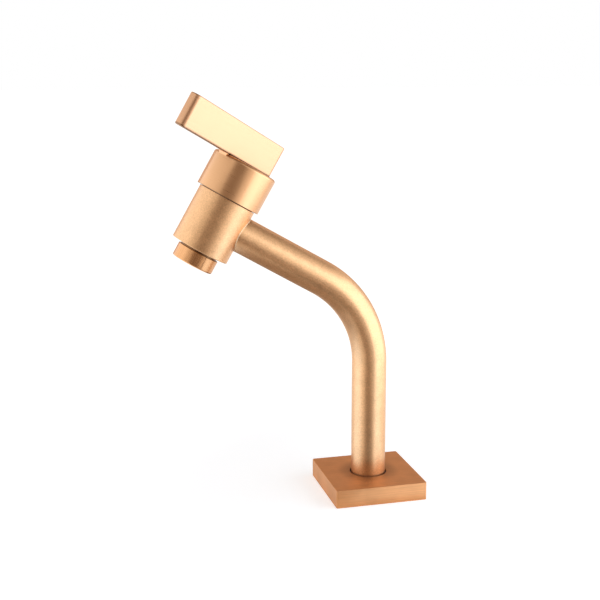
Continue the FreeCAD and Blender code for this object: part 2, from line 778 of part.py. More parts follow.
def spindle(doc, s):
    """Driver with two prongs, ringed guide, clip groove and splined top."""
    guide = s["spindle_radius"]
    groove = s["spindle_bore"] - 2 * s["ring_cord_radius"]
    clip = guide - s["clip_groove"]
    start = s["clip_top"] + s["clip_thickness"]
    points = [(0, s["driver_low"]), (s["driver_radius"], s["driver_low"]),
              (s["driver_radius"], s["driver_top"]), (guide, s["driver_top"])]
    for middle in ring_heights(s):
        low = middle - s["ring_cord_radius"] - s["fit_clearance"]
        high = middle + s["ring_cord_radius"] + s["fit_clearance"]
        points += [(guide, low), (groove, low), (groove, high), (guide, high)]
    points += [(guide, s["clip_low"]), (clip, s["clip_low"]),
               (clip, s["clip_top"]), (guide, s["clip_top"]), (guide, start),
               (s["spline_radius"], start), (s["spline_radius"], s["spindle_top"]),
               (0, s["spindle_top"])]
    blank = turned(doc, "spindle_blank", points)
    half = s["spline_width"] / 2
    sketch = new_sketch(blank, "spindle_spline", "XY_Plane", s["spindle_top"])
    draw_rectangle(sketch, s["spline_radius"] - s["spline_depth"],
                   s["spline_radius"] + CUT_MARGIN, -half, half)
    first = pocket(blank, sketch, s["spindle_top"] - start)
    repeat_round(blank, first, sketch, SPLINE_COUNT)
    prongs = opposite_sectors(doc, "prong", s["prong_inner_radius"],
                              s["driver_radius"] - s["loose_clearance"],
                              s["moving_disc_low"] + s["disc_thickness"] / 2 + s["fit_clearance"],
                              s["driver_low"] + s["driver_thickness"] / 2, as_size(0),
                              s["prong_angle"])
    # The stop is fixed in the head's frame, so its bearing is turned back into the handle's
    slack = s["stop_slack_angle"]
    bearing = s["stop_bearing"] - 180 - s["lever_turn"] - s["stop_angle"] / 2
    sweep = ring_sector(doc, "stop_sweep",
                        s["sleeve_bore"] - s["stop_depth"] - s["driver_clearance"],
                        s["driver_radius"] + CUT_MARGIN, s["driver_low"] - CUT_MARGIN,
                        s["driver_top"] + CUT_MARGIN, bearing - s["open_travel"] - slack,
                        s["quarter_turn"] + s["stop_angle"] + 2 * slack)
    return cut(doc, "spindle", fuse(doc, "spindle_forging", [blank] + prongs), [sweep])


def spindle_rings(doc, s):
    """Two rubber rings in the spindle's grooves."""
    rings = []
    for number, middle in enumerate(ring_heights(s), start=1):
        item = doc.addObject("Part::Torus", f"spindle_ring_{number}")
        bind(item, "Radius1", s["spindle_bore"] - s["ring_cord_radius"])
        bind(item, "Radius2", s["ring_cord_radius"] - s["disc_film"])
        rings.append(put_at(item, z=middle))
    item = doc.addObject("Part::Compound", "spindle_rings")
    item.Links = rings
    return item


def spindle_clip(doc, s):
    """Open clip in the spindle's groove, above the guide."""
    inner = s["spindle_radius"] - s["clip_groove"] + s["running_clearance"]
    return ring_sector(doc, "spindle_clip", inner, inner + s["clip_width"], s["clip_low"],
                       s["clip_top"], (360 - s["clip_angle"]) / 2, s["clip_angle"])


# Handle, drawn in its own frame

def blade_screw(doc, name, s, x, slack):
    """Countersunk screw, or the hole for it when it is drawn with some slack."""
    shaft = s["blade_screw_radius"] + slack
    head = s["blade_screw_radius"] + s["blade_screw_head"]
    tip = s["cap_top"] + s["blade_screw_grip"] + slack
    cone = doc.addObject("Part::Cone", f"{name}_head")
    bind(cone, "Radius1", head + slack)
    bind(cone, "Radius2", shaft)
    bind(cone, "Height", s["blade_screw_head"])
    put_at(cone, x=x, z=s["cavity_top"])
    pin = doc.addObject("Part::Cylinder", f"{name}_shaft")
    bind(pin, "Radius", shaft)
    bind(pin, "Height", tip - s["cavity_top"])
    put_at(pin, x=x, z=s["cavity_top"])
    return fuse(doc, name, [cone, pin])


def handle_cap(doc, s):
    """Round cap over the body's neck, with a splined boss inside."""
    cap = turned(doc, "cap_blank", [
        (s["cavity_radius"], s["cap_start"]), (s["cap_radius"], s["cap_start"]),
        (s["cap_radius"], s["cap_top"]), (0, s["cap_top"]), (0, s["socket_top"]),
        (s["socket_radius"], s["socket_top"]), (s["socket_radius"], s["boss_low"]),
        (s["boss_radius"], s["boss_low"]), (s["boss_radius"], s["cavity_top"]),
        (s["cavity_radius"], s["cavity_top"])])
    rim = round_edges(doc, cap, cap.Tip, s["cap_rounding"],
                      lambda edge: is_circle(edge, s["cap_radius"], s["cap_top"]), "cap_rim")
    skirt = round_edges(doc, cap, rim, s["cap_edge"],
                        lambda edge: is_circle(edge, s["cap_radius"], s["cap_start"]), "cap_hem")
    cap.Tip = skirt
    half = s["spline_width"] / 2 - s["fit_clearance"]
    tooth = new_sketch(cap, "socket_tooth", "XY_Plane", s["boss_low"])
    draw_rectangle(tooth, s["socket_radius"] - s["spline_depth"] + s["fit_clearance"] / 2,
                   s["socket_radius"] + s["spline_depth"], -half, half)
    first = pad(cap, tooth, s["socket_top"] - s["boss_low"])
    repeat_round(cap, first, tooth, SPLINE_COUNT)
    slack = s["running_clearance"]
    holes = [blade_screw(doc, f"cap_screw_hole_{side + 1}", s, s["blade_screw_offset"] * side, slack)
             for side in (-1, 1)]
    thread = cross_cylinder(doc, "grub_hole", s["grub_radius"] + slack, s["socket_radius"] / 2,
                            s["boss_radius"] + CUT_MARGIN, s["grub_height"])
    access = cross_cylinder(doc, "access_hole", s["grub_radius"] + s["fit_clearance"] + slack,
                            s["cavity_radius"] - CUT_MARGIN, s["cap_radius"] + CUT_MARGIN,
                            s["grub_height"])
    return cut(doc, "handle_cap", cap, holes + [thread, access])


def lever_blade(doc, s):
    """Upright flat bar across the cap, rounded on every edge."""
    blade = new_body(doc, "blade_blank")
    half = s["lever_thickness"] / 2
    outline = new_sketch(blade, "blade_outline", "XY_Plane", s["cap_top"])
    draw_rectangle(outline, -s["lever_heel"], s["lever_reach"], -half, half)
    bar = pad(blade, outline, s["lever_height"])
    blade.Tip = round_edges(doc, blade, bar, s["lever_rounding"], lambda edge: True, "blade_edges")
    holes = [blade_screw(doc, f"blade_hole_{side + 1}", s, s["blade_screw_offset"] * side,
                         s["running_clearance"]) for side in (-1, 1)]
    return cut(doc, "lever_blade", blade, holes)


def lever_screws(doc, s):
    """Two countersunk screws from inside the cap up into the blade, each with a hexagon socket."""
    screws = []
    for side in (-1, 1):
        x = s["blade_screw_offset"] * side
        blank = blade_screw(doc, f"lever_screw_blank_{side + 1}", s, x, as_size(0))
        socket = hexagon(doc, f"lever_screw_socket_{side + 1}", s["blade_screw_socket"],
                         s["cavity_top"] - CUT_MARGIN, s["cavity_top"] + s["blade_screw_head"])
        put_at(socket, x=x, z=s["cavity_top"] - CUT_MARGIN)
        screws.append(cut(doc, f"lever_screw_{side + 1}", blank, [socket]))
    item = doc.addObject("Part::Compound", "lever_screws")
    item.Links = screws
    return item


def grub_screw(doc, s):
    """Headless screw with a hexagon socket that grips the spindle."""
    near = s["spline_radius"] + s["running_clearance"]
    far = near + s["grub_length"]
    shaft = cross_cylinder(doc, "grub_shaft", s["grub_radius"], near, far, s["grub_height"])
    socket = hexagon(doc, "grub_socket", s["grub_socket"], near, far)
    put_at(socket, x=-(near + s["grub_length"] / 2), z=s["grub_height"], axis=(0, 1, 0), angle=-90)
    return cut(doc, "grub_screw", shaft, [socket])


def screw_plug(doc, s):
    """Small plug that closes the way to the grub screw."""
    item = cross_cylinder(doc, "plug_shank", s["grub_radius"] + s["fit_clearance"],
                          s["plug_far"] - s["plug_length"], s["plug_far"], s["grub_height"])
    whole = doc.addObject("Part::Compound", "screw_plug")
    whole.Links = [item]
    return whole


# Aerator, drawn in the head's frame

def aerator_housing(doc, s):
    """Threaded ring with the visible collar and an inner lip at its mouth."""
    lip = s["aerator_bore"] - s["aerator_lip"]
    body = turned(doc, "aerator_housing", [
        (s["aerator_bore"], s["aerator_top"]), (s["aerator_male"], s["aerator_top"]),
        (s["aerator_male"], s["collar_top"]), (s["aerator_radius"], s["collar_top"]),
        (s["aerator_radius"], s["aerator_bottom"]), (lip, s["aerator_bottom"]),
        (lip, s["shelf"]), (s["aerator_bore"], s["shelf"])])
    body.Tip = round_edges(doc, body, body.Tip, s["aerator_rounding"],
                           lambda edge: is_circle(edge, s["aerator_radius"], s["aerator_bottom"]),
                           "collar_edge")
    return body


def aerator_gasket(doc, s):
    """Flat rubber ring between the aerator and the body."""
    outer = s["aerator_male"] - s["fit_clearance"]
    return ring(doc, "aerator_gasket", outer - s["aerator_gasket_width"], outer,
                s["aerator_top"], s["pocket_top"])


def aerator_screen(doc, s):
    """Perforated steel disc that keeps grit out."""
    body = turned(doc, "aerator_screen", [
        (0, s["screen_low"]), (s["insert_radius"], s["screen_low"]),
        (s["insert_radius"], s["aerator_top"]), (0, s["aerator_top"])])
    hole_rings(body, "screen", SCREEN_RINGS, s["screen_pitch"], s["screen_hole_radius"],
               s["aerator_top"], s["screen_thickness"] * 2)
    return body


def aerator_diffuser(doc, s):
    """Plastic cup whose perforated top breaks the flow into jets."""
    inner = s["insert_radius"] - s["aerator_wall"]
    under = s["screen_low"] - s["diffuser_plate"]
    body = turned(doc, "aerator_diffuser", [
        (inner, s["diffuser_low"]), (s["insert_radius"], s["diffuser_low"]),
        (s["insert_radius"], s["screen_low"]), (0, s["screen_low"]), (0, under), (inner, under)])
    hole_rings(body, "diffuser", DIFFUSER_RINGS, s["diffuser_pitch"], s["diffuser_hole_radius"],
               s["screen_low"], s["diffuser_plate"] * 2)
    return body


def aerator_grille(doc, s):
    """Plastic outlet grid on the aerator's lip."""
    body = turned(doc, "aerator_grille", [
        (0, s["shelf"]), (s["insert_radius"], s["shelf"]),
        (s["insert_radius"], s["diffuser_low"]), (0, s["diffuser_low"])])
    hole_rings(body, "grille", GRILLE_RINGS, s["grille_pitch"], s["grille_hole_radius"],
               s["diffuser_low"], (s["diffuser_low"] - s["shelf"]) * 2)
    return body


# Assembly

def build(doc):
    """Makes every sub-part and returns those that are written, by node name."""
    s = make_sheet(doc)
    work_out(s)
    head, handle = make_frames(doc, s)
    base_plate(doc, s)
    plate_ring(doc, s)
    foot_shank(doc, s)
    clamping_rings(doc, s)
    backnut(doc, s)
    spout_tube(doc, s, head)
    rim = s["driver_radius"]
    in_head = [
        valve_body(doc, s),
        cartridge_housing(doc, s),
        ring(doc, "seat_seal", s["outlet_radius"] + s["loose_clearance"], s["disc_radius"],
             s["floor"], s["fixed_disc_low"]),
        disc(doc, "fixed_disc", s, s["fixed_disc_low"], as_size(0), s["disc_radius"],
             as_size(90), s["disc_radius"] - s["key_depth"],
             s["key_angle"] + s["key_slack_angle"], s["fixed_disc_low"] - CUT_MARGIN),
        cartridge_nut(doc, s),
        glide_ring(doc, s),
        aerator_housing(doc, s),
        aerator_gasket(doc, s),
        aerator_screen(doc, s),
        aerator_diffuser(doc, s),
        aerator_grille(doc, s),
    ]
    in_handle = [
        spindle(doc, s),
        spindle_rings(doc, s),
        spindle_clip(doc, s),
        ring(doc, "thrust_washer", s["spindle_bore"], rim - s["fit_clearance"],
             s["driver_top"], s["driver_top"] + s["thrust_washer_thickness"]),
        disc(doc, "moving_disc", s, s["moving_disc_low"], as_size(90), rim - s["loose_clearance"],
             as_size(0), s["prong_inner_radius"] - s["fit_clearance"],
             s["prong_angle"] + s["prong_slack_angle"],
             s["moving_disc_low"] + s["disc_thickness"] / 2),
        handle_cap(doc, s),
        lever_blade(doc, s),
        lever_screws(doc, s),
        grub_screw(doc, s),
        screw_plug(doc, s),
    ]
    for item in in_head:
        carry(item, head)
    for item in in_handle:
        carry(item, handle)
    ring_place = placement_text(z=(s["ceiling"] + s["housing_top"]) / 2)
    flange_ring = cartridge_ring(doc, s)
    flange_ring.setExpression("Placement", f"{head.Name}.Placement * {ring_place}")


NODES = (
    "base_plate", "plate_ring", "foot_shank", "deck_gasket", "rubber_washer", "steel_washer",
    "backnut", "spout_tube", "valve_body", "cartridge_housing", "cartridge_ring", "seat_seal",
    "fixed_disc", "moving_disc", "spindle", "spindle_rings", "spindle_clip", "thrust_washer",
    "cartridge_nut", "glide_ring", "handle_cap", "lever_blade", "lever_screws", "grub_screw",
    "screw_plug", "aerator_housing", "aerator_gasket", "aerator_screen", "aerator_diffuser",
    "aerator_grille",
)


def check(doc):
    """Stops on any failed object, and on any sub-part without a sound shape."""
    for item in doc.Objects:
        if "Invalid" in item.State or "Error" in item.State:
            raise RuntimeError(f"{item.Name} failed: {item.State}")
    for name in NODES:
        shape = doc.getObject(name).Shape
        if shape.isNull() or not shape.isValid() or not shape.Solids:
            raise RuntimeError(f"{name} has no sound shape")


def main():
    doc = FreeCAD.newDocument("tall_basin_tap")
    build(doc)
    doc.recompute()
    check(doc)
    os.makedirs("parts", exist_ok=True)
    for name in NODES:
        item = doc.getObject(name)
        item.Label = name
        item.Shape.exportStep(f"parts/{name}.step")
        print(name, len(item.Shape.Solids), round(item.Shape.Volume, 1))


main()
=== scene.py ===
import json
import math

import bpy
from bpy.props import FloatProperty, FloatVectorProperty, IntProperty, PointerProperty
from mathutils import Matrix, Vector


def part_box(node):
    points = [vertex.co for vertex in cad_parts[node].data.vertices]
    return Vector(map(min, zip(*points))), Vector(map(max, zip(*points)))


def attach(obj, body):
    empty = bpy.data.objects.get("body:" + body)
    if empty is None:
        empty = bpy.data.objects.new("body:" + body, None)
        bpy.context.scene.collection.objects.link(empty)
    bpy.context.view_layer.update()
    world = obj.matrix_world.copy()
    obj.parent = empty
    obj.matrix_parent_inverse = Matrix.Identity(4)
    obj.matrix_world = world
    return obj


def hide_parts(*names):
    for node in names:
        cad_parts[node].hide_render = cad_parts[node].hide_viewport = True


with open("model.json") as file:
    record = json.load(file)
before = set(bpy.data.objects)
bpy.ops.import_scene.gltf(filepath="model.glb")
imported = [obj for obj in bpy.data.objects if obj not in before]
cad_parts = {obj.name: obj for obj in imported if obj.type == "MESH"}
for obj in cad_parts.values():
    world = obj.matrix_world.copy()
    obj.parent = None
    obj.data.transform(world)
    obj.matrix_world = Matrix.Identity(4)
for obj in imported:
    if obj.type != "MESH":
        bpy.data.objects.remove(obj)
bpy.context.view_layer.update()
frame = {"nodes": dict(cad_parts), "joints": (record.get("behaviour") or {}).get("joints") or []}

bl_info = {
    "name": "Tall Basin Tap",
    "version": (1, 0, 0),
    "blender": (4, 5, 0),
    "location": "3D View > Sidebar > Tap",
    "description": "Models a tall basin tap round its packed frame, with its finishes and its studio",
    "category": "Object",
}

MM = 0.001
# Places that are closer together than this count as one
NEAR = 0.01 * MM
HINGE = next(joint for joint in frame["joints"] if joint["name"] == "lever_turn")
HEAD_TILT = math.atan2(HINGE["axis"][0], HINGE["axis"][2])
HEAD_CENTRE = Vector(HINGE["pos_m"])
HEAD_PLACE = Matrix.Translation(HEAD_CENTRE) @ Matrix.Rotation(HEAD_TILT, 4, "Y")
PLATE_LOW, PLATE_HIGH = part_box("base_plate")


def hex_colour(text):
    """An sRGB hex colour as linear red, green and blue."""
    parts = [int(text[index:index + 2], 16) / 255 for index in (1, 3, 5)]
    return tuple(part / 12.92 if part <= 0.04045 else ((part + 0.055) / 1.055) ** 2.4
                 for part in parts)


# Sizes and colours that a user would change


def length(name, description, default):
    return FloatProperty(name=name, description=description, default=default, unit="LENGTH",
                         precision=5)


def colour(name, description, text):
    return FloatVectorProperty(name=name, description=description, default=hex_colour(text),
                               size=3, min=0.0, max=1.0, subtype="COLOR")


class TapPlateSizes(bpy.types.PropertyGroup):
    side: length("Side", "Width of the square plate", PLATE_HIGH.x - PLATE_LOW.x)
    height: length("Height", "Height of the plate", PLATE_HIGH.z - PLATE_LOW.z)
    wall: length("Wall", "Thickness of the plate's sides", 2.0 * MM)
    roof: length("Roof", "Thickness of the plate's top", 2.0 * MM)
    corner: length("Corner", "Radius of the upright corners", 1.2 * MM)
    rounding: length("Rounding", "Radius of the top edges", 0.4 * MM)
    hole: length("Hole", "Radius of the hole for the tube", 12.0 * MM)


class TapFootSizes(bpy.types.PropertyGroup):
    tail: length("Tail", "Outer radius of the tail's thread", 10.48 * MM)
    depth: length("Thread depth", "Depth of the G1/2 thread", 1.162 * MM)
    pitch: length("Pitch", "Rise of the G1/2 thread in one turn", 1.814 * MM)
    chamfer: length("Chamfer", "Chamfer at the thread's ends", 0.8 * MM)
    low: length("Low", "Height of the tail's end", -50.0 * MM)
    end_thread: length("End thread", "Length of the thread for the supply pipe", 12.0 * MM)
    relief: length("Relief", "Gap between the two threads", 1.0 * MM)
    thread_top: length("Thread top", "Height at which the nut's thread ends", -1.5 * MM)
    bore: length("Bore", "Radius of the waterway", 7.0 * MM)
    flange: length("Flange", "Radius of the flange", 20.0 * MM)
    flange_low: length("Flange low", "Underside of the flange", 1.5 * MM)
    flange_top: length("Flange top", "Top of the flange", 4.5 * MM)
    spigot: length("Spigot", "Radius of the spigot in the tube", 9.55 * MM)
    spigot_top: length("Spigot top", "Height of the spigot's end", 16.5 * MM)


class TapTubeSizes(bpy.types.PropertyGroup):
    radius: length("Radius", "Outer radius of the tube", 11.1 * MM)
    wall: length("Wall", "Thickness of the tube's wall", 1.5 * MM)
    foot: length("Foot", "Height at which the tube starts", 4.5 * MM)
    spring: length("Spring", "Height at which the bend starts", 85.984 * MM)
    bend: length("Bend", "Radius of the bend's centre line", 65.5 * MM)
    arm: length("Arm", "Length of the arm, up to the head's axis", 75.883 * MM)
    cope: length("Cope", "Radius that the arm's end is cut to", 18.35 * MM)
    bead: length("Bead", "Radius of the brazed bead's section", 0.38 * MM)


class TapHeadSizes(bpy.types.PropertyGroup):
    radius: length("Radius", "Outer radius of the valve body", 18.3 * MM)
    bottom: length("Bottom", "Lower end of the body, from the tube's axis", -19.7 * MM)
    shoulder: length("Shoulder", "Height of the shoulder under the cap", 15.2 * MM)
    neck: length("Neck", "Radius of the neck inside the cap", 16.4 * MM)
    neck_top: length("Neck top", "Upper end of the neck", 21.2 * MM)
    edge: length("Edge", "Radius of the body's edges", 0.3 * MM)
    chamber: length("Chamber", "Radius of the cartridge's chamber", 13.0 * MM)
    floor: length("Floor", "Height of the chamber's floor", -7.0 * MM)
    pocket: length("Pocket", "Radius of the aerator's pocket", 12.0 * MM)
    pocket_top: length("Pocket top", "Height of the pocket's ceiling", -10.5 * MM)
    outlet: length("Outlet", "Radius of the outlet in the seat", 5.0 * MM)


class TapAeratorSizes(bpy.types.PropertyGroup):
    thread: length("Thread", "Radius of the threaded ring", 11.95 * MM)
    top: length("Top", "Upper end of the threaded ring", -12.4 * MM)
    radius: length("Radius", "Radius of the collar", 13.15 * MM)
    collar_top: length("Collar top", "Upper end of the collar", -21.3 * MM)
    bottom: length("Bottom", "Lower end of the collar", -29.8 * MM)
    rounding: length("Rounding", "Radius of the collar's lower edge", 0.8 * MM)
    bore: length("Bore", "Radius inside the ring", 10.55 * MM)
    lip: length("Lip", "Radius of the mouth", 9.55 * MM)
    shelf: length("Shelf", "Height of the shelf that carries the grid", -26.2 * MM)


class TapHandleSizes(bpy.types.PropertyGroup):
    radius: length("Radius", "Outer radius of the cap", 20.5 * MM)
    low: length("Low", "Lower end of the cap", 15.5 * MM)
    top: length("Top", "Upper end of the cap", 38.6 * MM)
    rim: length("Rim", "Radius of the cap's top edge", 1.8 * MM)
    hem: length("Hem", "Radius of the cap's lower edge", 0.3 * MM)
    cavity: length("Cavity", "Radius inside the cap", 17.0 * MM)
    cavity_top: length("Cavity top", "Height of the cap's ceiling", 33.0 * MM)
    boss: length("Boss", "Radius of the boss round the spindle", 9.0 * MM)
    boss_low: length("Boss low", "Lower end of the boss", 25.7 * MM)
    socket: length("Socket", "Radius of the spindle's socket", 4.1 * MM)
    socket_top: length("Socket top", "Upper end of the socket", 36.0 * MM)
    access: length("Access", "Radius of the way to the grub screw", 2.65 * MM)
    access_height: length("Access height", "Height of the way to the grub screw", 29.35 * MM)
    reach: length("Reach", "Length of the blade in front of the axis", 60.2 * MM)
    heel: length("Heel", "Length of the blade behind the axis", 19.8 * MM)
    thickness: length("Thickness", "Thickness of the blade", 8.4 * MM)
    blade: length("Blade", "Height of the blade", 20.2 * MM)
    rounding: length("Rounding", "Radius of the blade's long edges", 0.7 * MM)
    corner: length("Corner", "Radius of the blade's upright edges", 3.4 * MM)
    fillet: length("Fillet", "Radius of the fillet under the blade", 1.8 * MM)
    bearing: FloatProperty(name="Bearing", description="Turn of the lever round the head's axis",
                           default=math.radians(210), subtype="ANGLE")


class TapFinishes(bpy.types.PropertyGroup):
    blasted: colour("Blasted copper", "Tube and valve body", "#E0AE7E")
    brushed: colour("Brushed copper", "Cap", "#DAA678")
    blade: colour("Lengthwise brushed copper", "Lever's blade", "#DBA880")
    linished: colour("Linished copper", "Base plate", "#D09462")
    polished: colour("Polished copper", "Aerator", "#D49A68")
    braze: colour("Silver braze", "Bead between tube and valve body", "#EBD2AC")
    brass: colour("Machined brass", "Foot, nuts and spindle", "#C9A765")
    steel: colour("Stainless steel", "Washer, screws and screen", "#BDBDC0")


class TapStage(bpy.types.PropertyGroup):
    backdrop: colour("Backdrop", "Background that the camera sees", "#FFFFFF")
    ambient: colour("Ambient", "Light from the room", "#A09C98")
    floor: colour("Floor", "Deck that the tap stands on", "#EDEBE8")
    dark: colour("Dark card", "What the cards in front, on the deck and above look like",
                 "#96887E")
    warm: colour("Warm card", "What the card behind looks like", "#CDB39E")
    lamp: colour("Lamp", "Light of the two soft lamps", "#D6E8FF")
    near_lift: FloatProperty(name="Near lift", description="White added to the floor at the tap",
                             default=0.56, min=0.0, max=1.0)
    far_lift: FloatProperty(name="Far lift", description="White added to the floor far away",
                            default=0.85, min=0.0, max=1.0)
    right: FloatProperty(name="Right lamp", description="Brightness of the right soft lamp",
                         default=2.0, min=0.0)
    left: FloatProperty(name="Left lamp", description="Brightness of the left soft lamp",
                        default=0.75, min=0.0)
    boards: FloatProperty(name="Boards", description="Brightness of the low boards",
                          default=2.2, min=0.0)
    lens: FloatProperty(name="Lens", description="Focal length of the camera", default=63.31,
                        unit="CAMERA")


# Modelling helpers


def deselect():
    bpy.ops.object.select_all(action="DESELECT")


def pick(piece):
    """Selects one piece alone and makes it the active one."""
    deselect()
    piece.select_set(True)
    bpy.context.view_layer.objects.active = piece


def object_mode():
    bpy.ops.object.mode_set(mode="OBJECT")


def edit_mode():
    bpy.ops.object.mode_set(mode="EDIT")


def edit_all():
    """Goes to edit mode with the whole mesh selected."""
    edit_mode()
    bpy.ops.mesh.select_all(action="SELECT")


def named(name):
    """Names the newest primitive and its mesh."""
    piece = bpy.context.object
    piece.name = name
    piece.data.name = name
    return piece


def choose(piece, test):
    """Selects the edges whose two ends pass a test, and goes to edit mode."""
    object_mode()
    mesh = piece.data
    for group in (mesh.vertices, mesh.edges, mesh.polygons):
        group.foreach_set("select", [False] * len(group))
    for edge in mesh.edges:
        edge.select = test(*(mesh.vertices[index].co for index in edge.vertices))
    bpy.context.tool_settings.mesh_select_mode = (False, True, False)
    edit_mode()


def outwards():
    """Merges doubles, then turns every face of the mesh outwards."""
    bpy.ops.mesh.select_all(action="SELECT")
    bpy.ops.mesh.remove_doubles(threshold=0.001 * MM)
    bpy.ops.mesh.normals_make_consistent(inside=False)


def block(name, low, high):
    """A cube resized and moved to fill the box between two corners."""
    low, high = Vector(low), Vector(high)
    deselect()
    bpy.ops.mesh.primitive_cube_add(size=1)
    piece = named(name)
    edit_all()
    bpy.ops.transform.resize(value=high - low)
    bpy.ops.transform.translate(value=(low + high) / 2)
    object_mode()
    return piece


def turn_outline(name, outline, segments, closed=True):
    """A ring drawn as a circle and extruded along an outline of (radius, height) points."""
    deselect()
    radius, height = outline[0]
    bpy.ops.mesh.primitive_circle_add(vertices=segments, radius=radius, location=(0, 0, height))
    piece = named(name)
    bpy.ops.object.transform_apply()
    edit_all()
    for wide, high in outline[1:] + (outline[:1] if closed else []):
        bpy.ops.mesh.extrude_edges_move(TRANSFORM_OT_translate={"value": (0, 0, high - height)})
        share = wide / radius
        bpy.ops.transform.resize(value=(share, share, 1), center_override=(0, 0, high))
        radius, height = wide, high
    if not closed:
        bpy.ops.mesh.select_all(action="SELECT")
        bpy.ops.mesh.fill_holes(sides=0)
    outwards()
    object_mode()
    return piece


def round_ring(piece, radius, height, size, segments):
    """Bevels the ring of edges at one radius and height."""

    def on_ring(first, second):
        return all(abs(math.hypot(point.x, point.y) - radius) < NEAR
                   and abs(point.z - height) < NEAR for point in (first, second))

    choose(piece, on_ring)
    bpy.ops.mesh.bevel(offset=size, segments=segments, affect="EDGES")
    object_mode()


def put(piece, place):
    """Moves the finished mesh to its place and leaves the object at the origin."""
    pick(piece)
    piece.matrix_world = place
    bpy.ops.object.transform_apply()


def apply_modifier(piece, kind, **settings):
    """Adds a modifier with its settings and applies it."""
    bpy.context.view_layer.objects.active = piece
    bpy.ops.object.modifier_add(type=kind)
    modifier = piece.modifiers[-1]
    for setting, value in settings.items():
        setattr(modifier, setting, value)
    bpy.ops.object.modifier_apply(modifier=modifier.name)


def cut_with(piece, cutter, operation="DIFFERENCE"):
    """Takes the cutter's shape away from the piece, or keeps only what lies in it.

    The cutter is then deleted.
    """
    apply_modifier(piece, "BOOLEAN", operation=operation, solver="EXACT", object=cutter)
    bpy.data.objects.remove(cutter)


def smooth(piece, angle=30):
    """Smooth shading with crisp flats, up to an angle between faces."""
    pick(piece)
    bpy.ops.object.shade_smooth_by_angle(angle=math.radians(angle))
    apply_modifier(piece, "WEIGHTED_NORMAL", keep_sharp=True)


def paint(piece, finish):
    """Gives a piece one of the finishes."""
    piece.data.materials.clear()
    piece.data.materials.append(bpy.data.materials[finish])


def finish_piece(piece, body, slot, finish, *nodes):
    """Gives the piece its finish and its body, and hides the nodes that it stands for; the slot is
    not used.
    """
    paint(piece, finish)
    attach(piece, body)
    if nodes:
        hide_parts(*nodes)


# Materials

# How far the scratches are drawn out along a piece's X, Y and Z
TURNED = (60, 60, 1)
LENGTHWISE = (60, 1, 1)
UPRIGHT = (1, 1, 60)


def add_node(tree, kind, inputs=(), **settings):
    """One node with its settings, its input values and its links."""
    made = tree.nodes.new(kind)
    for setting, value in settings.items():
        setattr(made, setting, value)
    for socket, value in dict(inputs).items():
        if isinstance(value, bpy.types.NodeSocket):
            tree.links.new(value, made.inputs[socket])
        else:
            made.inputs[socket].default_value = value
    return made


def new_tree(name):
    """The empty node tree of a new material."""
    material = bpy.data.materials.new(name)
    material.use_nodes = True
    material.node_tree.nodes.clear()
    return material.node_tree


def object_place(tree):
    """The piece's own coordinates in metres, which the patterns follow."""
    return add_node(tree, "ShaderNodeTexCoord").outputs["Object"]


def rgba(value):
    return (*value, 1.0)


def tinted(value, share):
    """The colour made darker or lighter by a share."""
    return rgba([min(1.0, part * share) for part in value])


def spread(tree, source, low, high):
    """A noise's middle values, where most of them lie, carried to a range of values."""
    return add_node(tree, "ShaderNodeMapRange", {"Value": source, "From Min": 0.3, "From Max": 0.7,
                                                 "To Min": low, "To Max": high}).outputs["Result"]


def shaded_metal(tree, value, mottle, contrast, roughness, height, depth):
    """Metal with a colour that follows one pattern and a sheen and bump that follow another."""
    uneven = 0.03
    tone = add_node(tree, "ShaderNodeMix",
                    {"Factor": spread(tree, mottle, 0, 1), "A": tinted(value, 1 - contrast),
                     "B": tinted(value, 1 + contrast)}, data_type="RGBA")
    bump = add_node(tree, "ShaderNodeBump", {"Strength": 1.0, "Distance": depth,
                                             "Height": height})
    shader = add_node(tree, "ShaderNodeBsdfPrincipled",
                      {"Base Color": tone.outputs["Result"], "Metallic": 1.0,
                       "Roughness": spread(tree, height, roughness - uneven, roughness + uneven),
                       "Normal": bump.outputs["Normal"]})
    add_node(tree, "ShaderNodeOutputMaterial", {"Surface": shader.outputs["BSDF"]})
    return tone, shader


def noise(tree, place, size, detail=2.0):
    """Soft noise whose blotches are about this many metres across."""
    return add_node(tree, "ShaderNodeTexNoise", {"Vector": place, "Scale": 1 / size,
                                                 "Detail": detail}).outputs["Fac"]


def between(tree, first, second, share):
    """A blend of two patterns."""
    return add_node(tree, "ShaderNodeMix", {"Factor": share, "A": first,
                                            "B": second}).outputs["Result"]


def stretched(tree, place, along, centre=(0, 0, 0), turn=(0, 0, 0)):
    """Coordinates drawn out along some axes of a turned frame, so that noise becomes lines."""
    return add_node(tree, "ShaderNodeMapping", {"Vector": place, "Location": centre,
                                                "Rotation": turn, "Scale": along},
                    vector_type="TEXTURE").outputs["Vector"]


def blasted_metal(name, value, roughness):
    """Bead-blasted and coated: an even, silky skin of fine dents that blurs what it mirrors.

    Real dents are about 0.15 mm across, too fine to show, so they are drawn 0.8 mm wide.
    """
    tree = new_tree(name)
    place = object_place(tree)
    dents = noise(tree, place, size=0.8 * MM, detail=3.0)
    clouds = noise(tree, place, size=6 * MM)
    mottle = between(tree, dents, clouds, share=0.25)
    made = shaded_metal(tree, value, mottle, contrast=0.18, roughness=roughness, height=dents,
                        depth=0.012 * MM)
    return (tree, place, *made)


def brushed_metal(name, value, roughness, along, contrast, **frame_turn):
    """Brushed, turned or polished: fine parallel scratches that draw the light out across them.

    Real scratches are about 0.05 mm apart, so they are drawn 0.35 mm apart to show.
    """
    tree = new_tree(name)
    place = object_place(tree)
    drawn = stretched(tree, place, along, **frame_turn)
    scratches = noise(tree, drawn, size=0.35 * MM, detail=3.0)
    clouds = noise(tree, place, size=12 * MM)
    mottle = between(tree, scratches, clouds, share=0.4)
    made = shaded_metal(tree, value, mottle, contrast=contrast, roughness=roughness,
                        height=scratches, depth=0.003 * MM)
    return (tree, place, *made)


